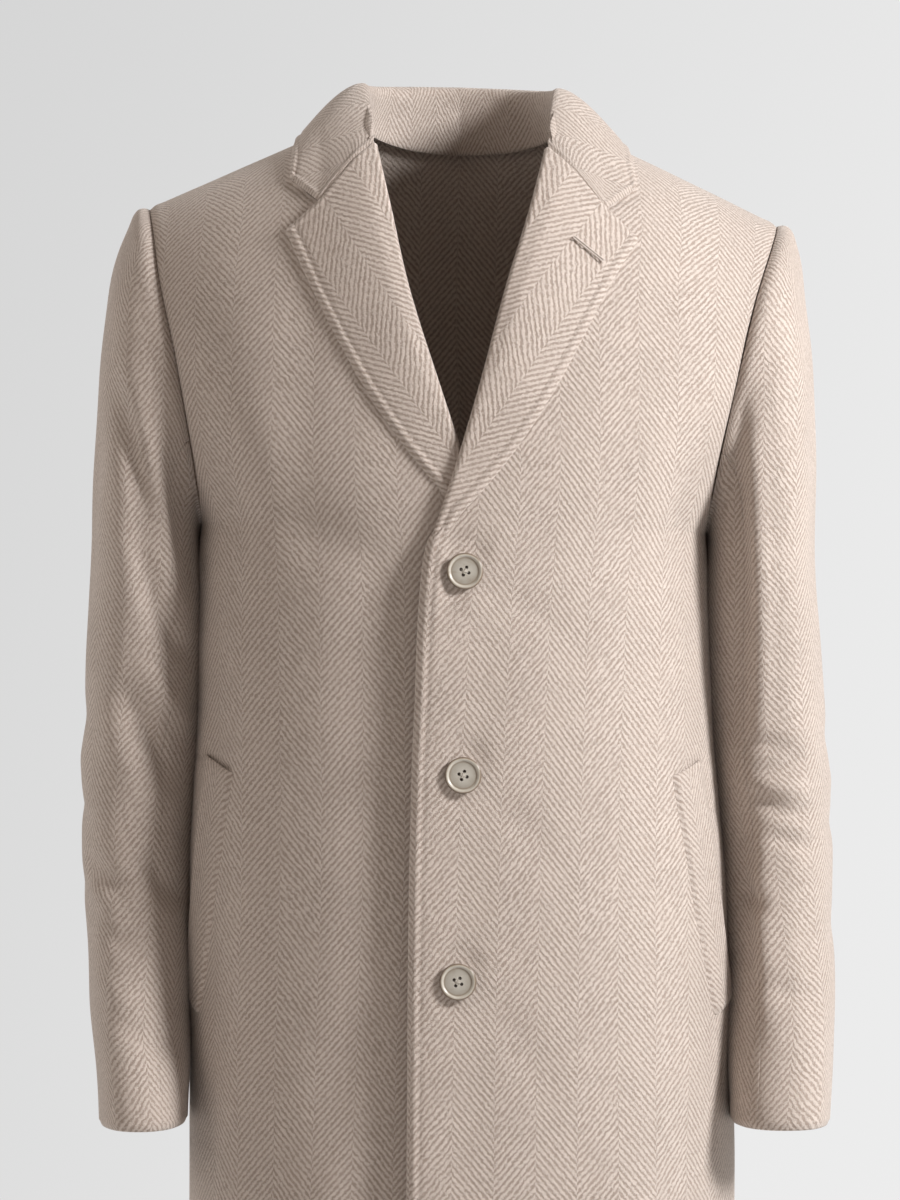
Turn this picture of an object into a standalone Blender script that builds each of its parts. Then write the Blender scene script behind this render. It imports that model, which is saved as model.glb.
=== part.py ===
"""Single-breasted wool topcoat, worn: hollow cloth panels, folded collar, lapels, welts and buttons.

Metres, +Z up. The coat faces -Y and the wearer's left is +X. The origin is the middle of the neck, level
with the two points where the shoulder seams meet the collar.
Every panel is worked out for the wearer's left side. The right side is its mirror image, and both are then
moved by pose(), which holds the slight lean of the shoulders and hips.
"""

from collections import namedtuple
from math import asin, cos, pi, radians, sin, sqrt, tan

import bmesh
import bpy
from mathutils import Matrix, Vector

# Cloth
CLOTH = 0.0024           # wall of coating with its canvas
SEAM_GAP = 0.0003        # between two pieces at a seam
LAYER_GAP = 0.0006       # between cloth and what lies on it

# Body
SEAM_LINE = 0.010        # y of the side seams and shoulder seams
SQUARENESS = 2.15        # exponent of the body's sections: 2 is an ellipse, more is boxier
NECK_X = 0.075           # half the distance between the side neck points
TIP_X = 0.227            # shoulder tip, where the sleeve is set in
SLOPE = tan(radians(24.6))
UNDERARM_Z = -0.295
HEM_Z = -0.930
ARC_FRONT = 2.3          # how square the chest turns over to the shoulder at the middle
ARC_BACK = 2.8           # the same for the back

Section = namedtuple("Section", "z half_width front back")
SECTIONS = [             # from the hem up; front and back are depths from the seam line
    Section(-0.930, 0.2000, 0.176, 0.142),
    Section(-0.800, 0.1950, 0.171, 0.136),
    Section(-0.700, 0.1930, 0.168, 0.130),
    Section(-0.630, 0.1930, 0.1655, 0.124),
    Section(-0.530, 0.1905, 0.1615, 0.112),
    Section(-0.440, 0.1842, 0.1575, 0.103),
    Section(-0.360, 0.1822, 0.1538, 0.105),
    Section(-0.295, 0.1815, 0.151, 0.114),
]

# Armhole, an egg seen from the side
ARMHOLE_FRONT = 0.070    # reach forward of the seam line
ARMHOLE_BACK = 0.078
ARMHOLE_SAG = 0.14       # how far the widest place sits below the middle

# Front edge, lapel and collar
EdgePoint = namedtuple("EdgePoint", "z x")
FRONT_EDGE = [           # how far the lap reaches past the centre line
    EdgePoint(-0.930, -0.0370),
    EdgePoint(-0.620, -0.0354),
    EdgePoint(-0.467, -0.0325),
    EdgePoint(-0.415, -0.0303),
    EdgePoint(-0.371, -0.0287),
    EdgePoint(-0.339, -0.0267),
    EdgePoint(-0.307, -0.0224),
]
BREAK = (-0.0224, -0.307)      # x, z where the lapel starts to turn
GORGE = (0.0595, -0.0245)      # x, z where the roll line meets the collar seam
NOTCH = (0.0990, -0.0705)      # the inner end of the notch
LAPEL_CORNER = (0.1225, -0.0905)
COLLAR_CORNER = (0.1215, -0.0520)
ROLL_BOW = 0.0046        # how far the roll line bows out from straight
LAPEL_BELLY = (0.0118, 0.0071)   # and the lapel's outer edge, sideways and down
LAPEL_TIP = 0.975        # the lapel stops just short of the break
LAPEL_LIFT = 0.0062      # height of the lapel's outer face over the front, behind its rolled edge
LAPEL_SHARES = (0.0, 0.1, 0.3, 0.62, 0.8, 1.0)   # points across the lapel; the notch is at the fourth
ROLL_SETBACK = 0.0050    # the front stops short of the roll line by this
UNDERLAP = 0.0062        # how deep the right front lies under the left one
UNDERLAP_NEAR, UNDERLAP_FAR = 0.100, 0.165

BACK_NECK_DROP = 0.010   # centre back neck below the side neck points
COLLAR_ROLL = dict(half_width=0.067, back=0.068, back_z=0.036, side_z=0.027)
COLLAR_EDGE = dict(half_width=0.119, back=0.089)
STAND_LEAN = 0.0045      # how far the stand leans back below the fold
FALL_ROUNDNESS = 0.010   # how far the fall runs out level before it drops
FALL_HOLLOW = 0.006      # how far it stands off the shoulder above its edge

# Side pockets
WELT = dict(top_x=0.152, top_z=-0.470, bottom_x=0.1785, bottom_z=-0.640, width=0.038, end_slant=0.011)
WELT_SHIFT = {"left": 0.0, "right": 0.0055}   # the right pocket sits a little nearer the side seam

# Sleeves, rings from the biceps to the cuff
Ring = namedtuple("Ring", "z x y half_x half_y tilt")
RINGS = [
    Ring(-0.310, 0.2221, 0.012, 0.0389, 0.080, 0.012),
    Ring(-0.420, 0.2259, 0.017, 0.0420, 0.074, 0.004),
    Ring(-0.530, 0.2318, 0.015, 0.0398, 0.069, 0.000),
    Ring(-0.630, 0.2318, -0.010, 0.0356, 0.063, 0.000),
    Ring(-0.716, 0.2262, -0.044, 0.0334, 0.056, 0.000),
]
RING_SQUARENESS = 2.25
FOREARM_SEAM = 120       # degrees round the sleeve, from its outer side towards the front
HIND_SEAM = 255
CUFF_SHAPE = {"left": 1.06, "right": 0.92}   # the cuffs are turned a little differently

# Buttons
Button = namedtuple("Button", "x z")
BUTTONS = [Button(0.0016, -0.327), Button(0.0003, -0.467), Button(-0.0032, -0.608)]
BUTTON = dict(radius=0.0127, height=0.0040, rim=0.0022, dish=0.0011, hole=0.0011, hole_ring=0.0027)

# Pose
Lean = namedtuple("Lean", "z centre side")
LEANS = [                # sideways shift at the centre line and at the sides
    Lean(-0.930, 0.0000, 0.0000),
    Lean(-0.740, 0.0000, 0.0000),
    Lean(-0.630, 0.0000, -0.0012),
    Lean(-0.530, 0.0000, -0.0036),
    Lean(-0.420, 0.0000, -0.0050),
    Lean(-0.320, 0.0000, -0.0062),
    Lean(-0.200, -0.0020, -0.0040),
    Lean(-0.130, -0.0040, -0.0030),
    Lean(-0.070, -0.0025, 0.0010),
    Lean(0.040, -0.0010, -0.0010),
]
LEAN_WIDTH = 0.150       # distance from the centre line where the side column holds fully
SHOULDER_DROP = 0.0268   # the left shoulder is lower: fall in z for each metre of x

# Mesh sizes
ARM_STEPS = 12           # steps from underarm to shoulder tip, shared by panels and sleeve
LOWER_ROWS = 9
FRONT_COLUMNS = 8
BACK_COLUMNS = 7
CAP_ROWS = 6
ARM_ROWS = 8
LAPEL_ROWS = 11
COLLAR_STATIONS = 11     # from the centre back to the front end
STAND_STEPS = 3
WELT_ROWS, WELT_COLUMNS = 5, 3
BUTTON_SIDES = 20


def smooth_column(table, column, z):
    """A table's column at height z, on one smooth curve that never overshoots."""
    rows = sorted(table)
    heights = [row.z for row in rows]
    values = [getattr(row, column) for row in rows]
    if z <= heights[0]:
        return values[0]
    if z >= heights[-1]:
        return values[-1]
    rise = [
        (values[i + 1] - values[i]) / (heights[i + 1] - heights[i]) for i in range(len(rows) - 1)
    ]

    def slope(i):
        if i == 0 or i == len(rows) - 1 or rise[i - 1] * rise[i] <= 0:
            return 0.0
        return 2 * rise[i - 1] * rise[i] / (rise[i - 1] + rise[i])

    i = max(k for k in range(len(rows) - 1) if heights[k] <= z)
    span = heights[i + 1] - heights[i]
    t = (z - heights[i]) / span
    return (
        values[i] * (1 + 2 * t) * (1 - t) ** 2
        + values[i + 1] * t * t * (3 - 2 * t)
        + span * (slope(i) * t * (1 - t) ** 2 - slope(i + 1) * t * t * (1 - t))
    )


def smoothstep(low, high, value):
    t = min(1.0, max(0.0, (value - low) / (high - low)))
    return t * t * (3 - 2 * t)


def mix(a, b, t):
    return a + (b - a) * t


def bezier(p0, p1, p2, p3, t):
    return (
        p0 * (1 - t) ** 3 + p1 * (3 * t * (1 - t) ** 2) + p2 * (3 * t * t * (1 - t)) + p3 * t**3
    )


# ---- body surface -----------------------------------------------------------------------------------


def ridge_height(x):
    """Height of the shoulder line over x."""
    return -SLOPE * (abs(x) - NECK_X)


TIP_Z = ridge_height(TIP_X)


def armhole_x(z):
    """The armhole seam leans in towards the underarm."""
    low = SECTIONS[-1].half_width
    t = min(1.0, max(0.0, (z - UNDERARM_Z) / (TIP_Z - UNDERARM_Z)))
    return mix(low, TIP_X, t**1.35)


def armhole_reach(z, face):
    """How far the armhole reaches from the seam line at height z."""
    middle, half = (TIP_Z + UNDERARM_Z) / 2, (TIP_Z - UNDERARM_Z) / 2
    c = min(1.0, max(-1.0, (z - middle) / half))
    widest = ARMHOLE_FRONT if face == "front" else ARMHOLE_BACK
    return widest * sqrt(1 - c * c) * (1 - ARMHOLE_SAG * c)


def arc_power(x, face):
    """Exponent of the upright arcs: rounder towards the armhole."""
    middle = ARC_FRONT if face == "front" else ARC_BACK
    return mix(middle, 2.0, min(1.0, abs(x) / TIP_X) ** 2)


def arc_share(x, z, face):
    """Share of the full depth left at height z, 1 at the underarm and 0 on the shoulder line."""
    if z <= UNDERARM_Z:
        return 1.0
    power = arc_power(x, face)
    climb = min(1.0, (z - UNDERARM_Z) / (ridge_height(x) - UNDERARM_Z))
    return (1 - climb**power) ** (1 / power)


def depth(z, face):
    return smooth_column(SECTIONS, face, z)


def half_width(z, face):
    """Half the width of the section at z. Above the underarm it is what puts the armhole on the surface."""
    if z <= UNDERARM_Z:
        return smooth_column(SECTIONS, "half_width", z)
    z = min(z, TIP_Z - 0.002)
    x = armhole_x(z)
    share = armhole_reach(z, face) / arc_share(x, z, face) / depth(z, face)
    return x / (1 - share**SQUARENESS) ** (1 / SQUARENESS)


def body_y(x, z, face):
    side = max(0.0, 1 - (abs(x) / half_width(z, face)) ** SQUARENESS) ** (1 / SQUARENESS)
    reach = depth(z, face) * side * arc_share(x, z, face)
    return SEAM_LINE + (-reach if face == "front" else reach)


def body_level(x, y, z, face):
    """Below 0 inside the body's surface and above 0 outside it."""
    reach = abs(y - SEAM_LINE) / depth(z, face)
    across = abs(x) / half_width(z, face)
    if z <= UNDERARM_Z:
        return across**SQUARENESS + reach**SQUARENESS - 1
    power = arc_power(x, face)
    climb = (z - UNDERARM_Z) / (ridge_height(x) - UNDERARM_Z)
    side = max(0.0, 1 - across**SQUARENESS) ** (power / SQUARENESS)
    return reach**power - (1 - climb**power) * side


def body_normal(point, face):
    x, y, z = point
    step = 0.0004
    normal = Vector(
        (
            body_level(x + step, y, z, face) - body_level(x - step, y, z, face),
            body_level(x, y + step, z, face) - body_level(x, y - step, z, face),
            body_level(x, y, z + step, face) - body_level(x, y, z - step, face),
        )
    )
    return normal.normalized()


def on_body(x, z, face, lift=0.0):
    point = Vector((x, body_y(x, z, face), z))
    return point + body_normal(point, face) * lift if lift else point


def height_over(x, y):
    """Height of the shoulders over a point of the plan, found by halving."""
    face = "front" if y < SEAM_LINE else "back"
    low, high = UNDERARM_Z, ridge_height(x)
    for _ in range(30):
        middle = (low + high) / 2
        if body_level(x, y, middle, face) < 0:
            low = middle
        else:
            high = middle
    return low


# ---- front and back panels --------------------------------------------------------------------------


def roll_point(t):
    """The roll line from the break, t 0, to the collar seam, t 1, as x and z."""
    x = mix(BREAK[0], GORGE[0], t) + ROLL_BOW * 4 * t * (1 - t)
    return x, mix(BREAK[1], GORGE[1], t)


def front_edge_x(z):
    """Inner edge of a front: the lap, then the roll line, then the neck seam."""
    if z <= BREAK[1]:
        return smooth_column(FRONT_EDGE, "x", z)
    if z <= GORGE[1]:
        t = (z - BREAK[1]) / (GORGE[1] - BREAK[1])
        return roll_point(t)[0] + ROLL_SETBACK * smoothstep(0, 0.06, t)
    t = (z - GORGE[1]) / -GORGE[1]
    return mix(GORGE[0] + ROLL_SETBACK, NECK_X, t)


def back_neck_z(x):
    return -BACK_NECK_DROP * (1 - (x / NECK_X) ** 3)


def arm_angles():
    """Angles round the armhole from the underarm, pi, to the shoulder tip, 0."""
    return [pi * (1 - k / ARM_STEPS) for k in range(ARM_STEPS + 1)]


def lower_heights():
    return [mix(HEM_Z, UNDERARM_Z, k / LOWER_ROWS) for k in range(LOWER_ROWS)]


def turn_of(x, width):
    """Angle round the section at which x is reached."""
    share = min(1.0, abs(x) / width) ** (SQUARENESS / 2)
    return asin(share) * (1 if x >= 0 else -1)


def x_at_turn(angle, width):
    return width * abs(sin(angle)) ** (2 / SQUARENESS) * (1 if angle >= 0 else -1)


def panel_rows(face, columns, inner_x, top_z):
    """Grid of points from the hem to the shoulder seam, each row from the inner edge to the side."""
    top_width = half_width(TIP_Z, face)
    inner_top = turn_of(inner_x(top_z(0)), top_width)
    outer_top = turn_of(TIP_X, top_width)
    rows = []
    for z in lower_heights():
        width = half_width(z, face)
        first = turn_of(inner_x(z), width)
        row = []
        for k in range(columns + 1):
            x = x_at_turn(mix(first, pi / 2, k / columns), width)
            row.append(on_body(x, z, face))
        rows.append(row)
    for angle in arm_angles():
        rise = cos(angle / 2) ** 2
        row = []
        z_inner = mix(UNDERARM_Z, top_z(0), rise)
        z_outer = mix(UNDERARM_Z, TIP_Z, rise)
        first = turn_of(inner_x(z_inner), half_width(z_inner, face))
        last = turn_of(armhole_x(z_outer), half_width(z_outer, face))
        for k in range(columns + 1):
            s = k / columns
            x_top = x_at_turn(mix(inner_top, outer_top, s), top_width)
            z = mix(UNDERARM_Z, top_z(x_top), rise)
            x = x_at_turn(mix(first, last, s), half_width(z, face))
            row.append(on_body(x, min(z, ridge_height(x)), face))
        rows.append(row)
    return rows


def underlap(x):
    """How deep the right front lies under the left one at its own x."""
    return UNDERLAP * (1 - smoothstep(UNDERLAP_NEAR, UNDERLAP_FAR, x))


def front_surface(x, z, side, lift=0.0):
    """A point of the front's outer face, with the right front's step under the left."""
    sink = underlap(x) if side == "right" and z < GORGE[1] else 0.0
    fade = 1 - smoothstep(-0.20, -0.06, z)
    return on_body(x, z, "front", lift - sink * fade)


def front_panel(side):
    rows = panel_rows("front", FRONT_COLUMNS, front_edge_x, lambda x: min(0.0, ridge_height(x)))
    moved = []
    for row in rows:
        moved.append([])
        for point in row:
            normal = body_normal(point, "front")
            sink = front_surface(point.x, point.z, side) - on_body(point.x, point.z, "front")
            moved[-1].append((point + sink + Vector((0, -SEAM_GAP / 2, 0)), normal))
    return moved


def back_top(x):
    return back_neck_z(x) if x < NECK_X else ridge_height(x)


def back_panel():
    rows = panel_rows("back", BACK_COLUMNS, lambda z: 0.0, back_top)
    apart = Vector((SEAM_GAP / 2, SEAM_GAP / 2, 0))
    return [[(point + apart, body_normal(point, "back")) for point in row] for row in rows]


# ---- sleeves ----------------------------------------------------------------------------------------


def armhole_point(angle):
    face = "front" if sin(angle) >= 0 else "back"
    z = mix(UNDERARM_Z, TIP_Z, cos(angle / 2) ** 2)
    reach = armhole_reach(z, face)
    y = SEAM_LINE + (-reach if face == "front" else reach)
    return Vector((armhole_x(z) + 2 * SEAM_GAP, y, z))


def ring_point(angle, z, side):
    """A point round the arm at the ring whose middle is at height z."""
    x, y, half_x, half_y, tilt = (
        smooth_column(RINGS, name, z) for name in ("x", "y", "half_x", "half_y", "tilt")
    )
    turned = mix(1.0, CUFF_SHAPE[side], smoothstep(RINGS[2].z, RINGS[-1].z, z))
    out = abs(cos(angle)) ** (2 / RING_SQUARENESS) * (1 if cos(angle) >= 0 else -1)
    forward = abs(sin(angle)) ** (2 / RING_SQUARENESS) * (1 if sin(angle) >= 0 else -1)
    return Vector((x + half_x * turned * out, y - half_y / turned * forward, z + tilt * out))


def sleeve_point(angle, t, side):
    """t runs from 0 at the armhole to 1 at the biceps and 2 at the cuff."""
    if t > 1:
        return ring_point(angle, mix(RINGS[0].z, RINGS[-1].z, t - 1), side)
    top = cos(angle / 2) ** 2
    start = armhole_point(angle)
    end = ring_point(angle, RINGS[0].z, side)
    out = Vector((1, -0.35 * sin(angle), 0.05 * cos(angle))).normalized()
    first = start + out * (0.004 + 0.020 * top)
    last = end + Vector((0, 0, 0.010 + 0.125 * top))
    return bezier(start, first, last, end, t)


def sleeve_normal(angle, t, side):
    turn, step = 0.02, 0.01
    low, high = max(0.0, t - step), min(2.0, t + step)
    along = sleeve_point(angle, high, side) - sleeve_point(angle, low, side)
    across = sleeve_point(angle + turn, t, side) - sleeve_point(angle - turn, t, side)
    return across.cross(along).normalized()


def sleeve_piece(side, first, last):
    """Grid between two angles in degrees, from the armhole to the cuff."""
    inset = SEAM_GAP * 0.8 / RINGS[-1].half_x
    steps = round((last - first) / (180 / ARM_STEPS))
    angles = [radians(mix(first, last, k / steps)) for k in range(steps + 1)]
    angles[0] += inset
    angles[-1] -= inset
    stages = [k / CAP_ROWS for k in range(CAP_ROWS)] + [1 + k / ARM_ROWS for k in range(ARM_ROWS + 1)]
    return [
        [(sleeve_point(a, t, side), sleeve_normal(a, t, side)) for a in angles] for t in stages
    ]


# ---- lapels -----------------------------------------------------------------------------------------


def top_edge(share, corner):
    """The gorge seam and then the notch edge, as x and z: share 0 at the roll, 1 at the corner."""
    bend = LAPEL_SHARES[3]
    if share <= bend:
        t = share / bend
        return mix(GORGE[0], NOTCH[0], t), mix(GORGE[1], NOTCH[1], t)
    t = (share - bend) / (1 - bend)
    return mix(NOTCH[0], corner[0], t), mix(NOTCH[1], corner[1], t)


def lapel_edge(t):
    """Outer edge from the corner, t 0, to the break, t 1."""
    bow = sin(pi * t**1.25)
    x = mix(LAPEL_CORNER[0], BREAK[0], t) + LAPEL_BELLY[0] * bow
    return x, mix(LAPEL_CORNER[1], BREAK[1], t) - LAPEL_BELLY[1] * bow


def lapel_height(share, t=0.0):
    """Height of the lapel's outer face over the front: low at the fold, the outer edge and the break."""
    low = CLOTH + LAYER_GAP
    lift = mix(LAPEL_LIFT, low, smoothstep(0.45, 0.72, t))
    fold = smoothstep(-0.02, 0.14, share)
    return mix(low * 0.4, lift, fold) - (lift - low) * smoothstep(0.3, 1.0, share)


def lapel(side):
    rows = []
    for i in range(LAPEL_ROWS + 1):
        t = LAPEL_TIP * i / LAPEL_ROWS
        row = []
        for share in LAPEL_SHARES:
            roll_x, roll_z = roll_point(1 - t)
            edge_x, edge_z = lapel_edge(t)
            top_x, top_z = top_edge(share, LAPEL_CORNER)
            straight_x = mix(GORGE[0], LAPEL_CORNER[0], share)
            straight_z = mix(GORGE[1], LAPEL_CORNER[1], share)
            bend = (1 - t) ** 4
            x = mix(roll_x, edge_x, share) + (top_x - straight_x) * bend
            z = mix(roll_z, edge_z, share) + (top_z - straight_z) * bend
            point = front_surface(x, z - SEAM_GAP * bend, side, lapel_height(share, t))
            row.append((point, body_normal(point, "front")))
        rows.append(row)
    return rows[::-1]


# ---- collar -----------------------------------------------------------------------------------------


def collar_roll(t):
    """Top of the fold: t 0 at the centre back, 1 at the shoulder and 2 at the gorge."""
    side = COLLAR_ROLL["half_width"]
    if t <= 1:
        angle = t * pi / 2
        z = mix(COLLAR_ROLL["back_z"], COLLAR_ROLL["side_z"], sin(angle) ** 2)
        return Vector((side * sin(angle), SEAM_LINE + COLLAR_ROLL["back"] * cos(angle), z))
    end = front_surface(GORGE[0], GORGE[1], "left", lapel_height(0))
    f = t - 1
    x = mix(side, end.x, f * f)
    z = mix(COLLAR_ROLL["side_z"], end.z, f**1.3)
    return Vector((x, mix(SEAM_LINE, end.y, f), z))


def collar_edge(t):
    """Outer edge of the fall, resting on the body."""
    lift = CLOTH + LAYER_GAP
    if t <= 1:
        angle = t * pi / 2
        x, y = COLLAR_EDGE["half_width"] * sin(angle), SEAM_LINE + COLLAR_EDGE["back"] * cos(angle)
    else:
        corner = on_body(*COLLAR_CORNER, "front")
        x, y = mix(COLLAR_EDGE["half_width"], corner.x, t - 1), mix(SEAM_LINE, corner.y, t - 1)
    point = Vector((x, y, height_over(x, y)))
    return point + body_normal(point, "front" if y < SEAM_LINE else "back") * lift


def collar_seam(t):
    """Foot of the stand, on the neck edge of the back and then of the front."""
    if t <= 1:
        x = NECK_X * sin(t * pi / 2)
        return on_body(x, min(back_neck_z(x), ridge_height(x)), "back")
    z = GORGE[1] * (t - 1)
    return on_body(front_edge_x(z), z, "front")


def stand_point(t, k):
    """The stand, from its foot, k 0, to the fold, k 1."""
    roll, foot = collar_roll(t), collar_seam(t)
    out = level_direction(collar_edge(t) - roll)
    up = Vector((0, 0, 1))
    foot = foot - out * CLOTH + up * 2 * LAYER_GAP
    rise = max(CLOTH, roll.z - foot.z)
    top = roll - out * STAND_LEAN - up * rise * 0.15
    return bezier(foot, foot + up * rise * 0.5, top, roll, k)


def fall_point(t, k):
    """The fall, from the fold, k 0, to its outer edge, k 1."""
    roll, edge = collar_roll(t), collar_edge(t)
    spread = edge - roll
    level = Vector((spread.x, spread.y, 0)).length
    face = "front" if edge.y < SEAM_LINE else "back"
    leave = roll + level_direction(spread) * (FALL_ROUNDNESS + 0.15 * level)
    land = edge - spread * 0.35 + body_normal(edge, face) * FALL_HOLLOW
    return bezier(roll, leave, land, edge, k)


def level_direction(vector):
    return Vector((vector.x, vector.y, 0)).normalized()


def front_end_point(k):
    """The collar's front end, along the gorge seam and the notch."""
    x, z = top_edge(k, COLLAR_CORNER)
    return on_body(x, z + SEAM_GAP, "front", lapel_height(k))


def collar_section(t, k):
    """A point round the folded section: k 0 at the foot of the stand, 1 on the fold, 2 at the outer edge."""
    if k < 1:
        return stand_point(t, k)
    point = fall_point(t, k - 1)
    if t > 1:
        point = point + (front_end_point(k - 1) - fall_point(2, k - 1)) * (t - 1) ** 4
    return point


def collar():
    """Half the collar from the centre back to its front end, mirrored into one piece."""
    sections = [k / STAND_STEPS for k in range(STAND_STEPS)] + [1 + share for share in LAPEL_SHARES]
    stations = [2 * i / COLLAR_STATIONS for i in range(COLLAR_STATIONS + 1)]
    half = [[collar_section(t, k) for k in sections] for t in stations]
    other = [[Vector((-p.x, p.y, p.z)) for p in row] for row in half[:0:-1]]
    grid = with_normals([row[::-1] for row in other + half])
    for end, side in ((0, -1), (-1, 1)):
        for k in range(len(LAPEL_SHARES)):
            point = grid[end][k][0]
            normal = body_normal(Vector((abs(point.x), point.y, point.z)), "front")
            grid[end][k] = (point, Vector((normal.x * side, normal.y, normal.z)))
    return grid


# ---- pockets and buttons ----------------------------------------------------------------------------


def walk(x, z, distance):
    """Moves along the section towards the side by a distance, in small steps."""
    width = half_width(z, "front")
    angle = turn_of(x, width)
    point = on_body(x, z, "front")
    gone, step = 0.0, 0.01
    while gone < distance and angle + step < pi / 2:
        angle += step
        following = on_body(x_at_turn(angle, width), z, "front")
        gone += (following - point).length
        point = following
    return point


def welt(side):
    rows = []
    for i in range(WELT_ROWS + 1):
        t = i / WELT_ROWS
        x, z = mix(WELT["bottom_x"], WELT["top_x"], t), mix(WELT["bottom_z"], WELT["top_z"], t)
        x += WELT_SHIFT[side]
        row = []
        for j in range(WELT_COLUMNS + 1):
            share = j / WELT_COLUMNS
            point = walk(x, z + WELT["end_slant"] * share, WELT["width"] * share)
            row.append(point + body_normal(point, "front") * (CLOTH + 2 * LAYER_GAP))
        rows.append(row)
    return with_normals(rows)


def button_mesh(name):
    """A turned disc with a raised rim, a shallow dish and four thread holes, its back on z 0."""
    r, h = BUTTON["radius"], BUTTON["height"]
    rim, dish = BUTTON["rim"], BUTTON["dish"]
    profile = [
        (0.0, 0.0),
        (r * 0.62, 0.0),
        (r - 0.0008, h * 0.28),
        (r, h * 0.62),
        (r - rim * 0.35, h),
        (r - rim, h - dish * 0.35),
        (r - rim * 1.7, h - dish),
        (0.0, h - dish),
    ]
    bm = bmesh.new()
    rings = []
    for radius, height in profile:
        if radius == 0:
            rings.append([bm.verts.new((0, 0, height))])
            continue
        turns = [2 * pi * k / BUTTON_SIDES for k in range(BUTTON_SIDES)]
        rings.append([bm.verts.new((radius * cos(a), radius * sin(a), height)) for a in turns])
    for low, high in zip(rings, rings[1:]):
        for k in range(BUTTON_SIDES):
            ahead = (k + 1) % BUTTON_SIDES
            ring = [low[k % len(low)], low[ahead % len(low)], high[ahead % len(high)], high[k % len(high)]]
            bm.faces.new(list(dict.fromkeys(ring)))
    bmesh.ops.recalc_face_normals(bm, faces=bm.faces)
    mesh = bpy.data.meshes.new(name)
    bm.to_mesh(mesh)
    bm.free()
    return mesh


def hole_cutter(button_name):
    """Four pins in a square, longer than the button is thick."""
    bm = bmesh.new()
    for k in range(4):
        angle = pi / 4 + k * pi / 2
        place = Matrix.Translation(
            (BUTTON["hole_ring"] * cos(angle), BUTTON["hole_ring"] * sin(angle), BUTTON["height"] / 2)
        )
        bmesh.ops.create_cone(
            bm, cap_ends=True, segments=8, radius1=BUTTON["hole"], radius2=BUTTON["hole"],
            depth=BUTTON["height"] * 3, matrix=place,
        )
    mesh = bpy.data.meshes.new(f"{button_name}_holes")
    bm.to_mesh(mesh)
    bm.free()
    cutter = bpy.data.objects.new(f"{button_name}_holes", mesh)
    cutter.hide_render = True
    cutter.display_type = "WIRE"
    return cutter


# ---- pose and solids --------------------------------------------------------------------------------


def pose(point):
    """The stance: a small sideways shift by height, and the left shoulder carried lower."""
    x, y, z = point
    weight = smoothstep(0, LEAN_WIDTH, abs(x))
    shift = mix(smooth_column(LEANS, "centre", z), smooth_column(LEANS, "side", z), weight)
    drop = SHOULDER_DROP * smoothstep(-0.66, -0.12, z)
    return Vector((x + shift, y, z - drop * x))


def with_normals(rows):
    """Adds each point's normal, from its neighbours in the grid."""
    result = []
    for i, row in enumerate(rows):
        result.append([])
        for j, point in enumerate(row):
            up = rows[min(i + 1, len(rows) - 1)][j] - rows[max(i - 1, 0)][j]
            across = row[min(j + 1, len(row) - 1)] - row[max(j - 1, 0)]
            result[-1].append((point, across.cross(up).normalized()))
    return result


def cloth_wall(name, grid, material, parent, mirrored=False):
    """A closed wall: the grid is its outer face, and the inner face lies one cloth behind it."""
    rows, columns = len(grid), len(grid[0])
    flip = Vector((-1, 1, 1)) if mirrored else Vector((1, 1, 1))
    outer = [pose(point * flip) for row in grid for point, _ in row]
    inner = [pose((point - normal * CLOTH) * flip) for row in grid for point, normal in row]
    behind = rows * columns
    faces = []
    for i in range(rows - 1):
        for j in range(columns - 1):
            a, b = i * columns + j, i * columns + j + 1
            c, d = b + columns, a + columns
            faces.append((a, b, c, d))
            faces.append((d + behind, c + behind, b + behind, a + behind))
    rim = [j for j in range(columns)]
    rim += [i * columns + columns - 1 for i in range(1, rows)]
    rim += [(rows - 1) * columns + j for j in range(columns - 2, -1, -1)]
    rim += [i * columns for i in range(rows - 2, 0, -1)]
    for a, b in zip(rim, rim[1:] + rim[:1]):
        faces.append((a, a + behind, b + behind, b))
    if mirrored:
        faces = [face[::-1] for face in faces]
    mesh = bpy.data.meshes.new(name)
    mesh.from_pydata(outer + inner, [], faces)
    mesh.materials.append(material)
    mesh.shade_smooth()
    mesh.set_sharp_from_angle(angle=radians(40))
    piece = bpy.data.objects.new(name, mesh)
    bpy.context.collection.objects.link(piece)
    piece.parent = parent
    return piece


def finish(name, colour, roughness):
    material = bpy.data.materials.new(name)
    material.use_nodes = True
    shader = material.node_tree.nodes["Principled BSDF"]
    shader.inputs["Base Color"].default_value = (*colour, 1)
    shader.inputs["Roughness"].default_value = roughness
    shader.inputs["Metallic"].default_value = 0
    return material


def add_button(name, place, material, parent):
    mesh = button_mesh(name)
    mesh.materials.append(material)
    mesh.shade_smooth()
    mesh.set_sharp_from_angle(angle=radians(40))
    piece = bpy.data.objects.new(name, mesh)
    bpy.context.collection.objects.link(piece)
    piece.parent = parent
    surface = on_body(place.x, place.z, "front")
    facing = body_normal(surface, "front")
    piece.location = pose(surface) + facing * SEAM_GAP
    piece.rotation_mode = "QUATERNION"
    piece.rotation_quaternion = facing.to_track_quat("Z", "Y")
    cutter = hole_cutter(name)
    bpy.context.collection.objects.link(cutter)
    cutter.parent = piece
    cut = piece.modifiers.new("holes", "BOOLEAN")
    cut.operation = "DIFFERENCE"
    cut.object = cutter


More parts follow.
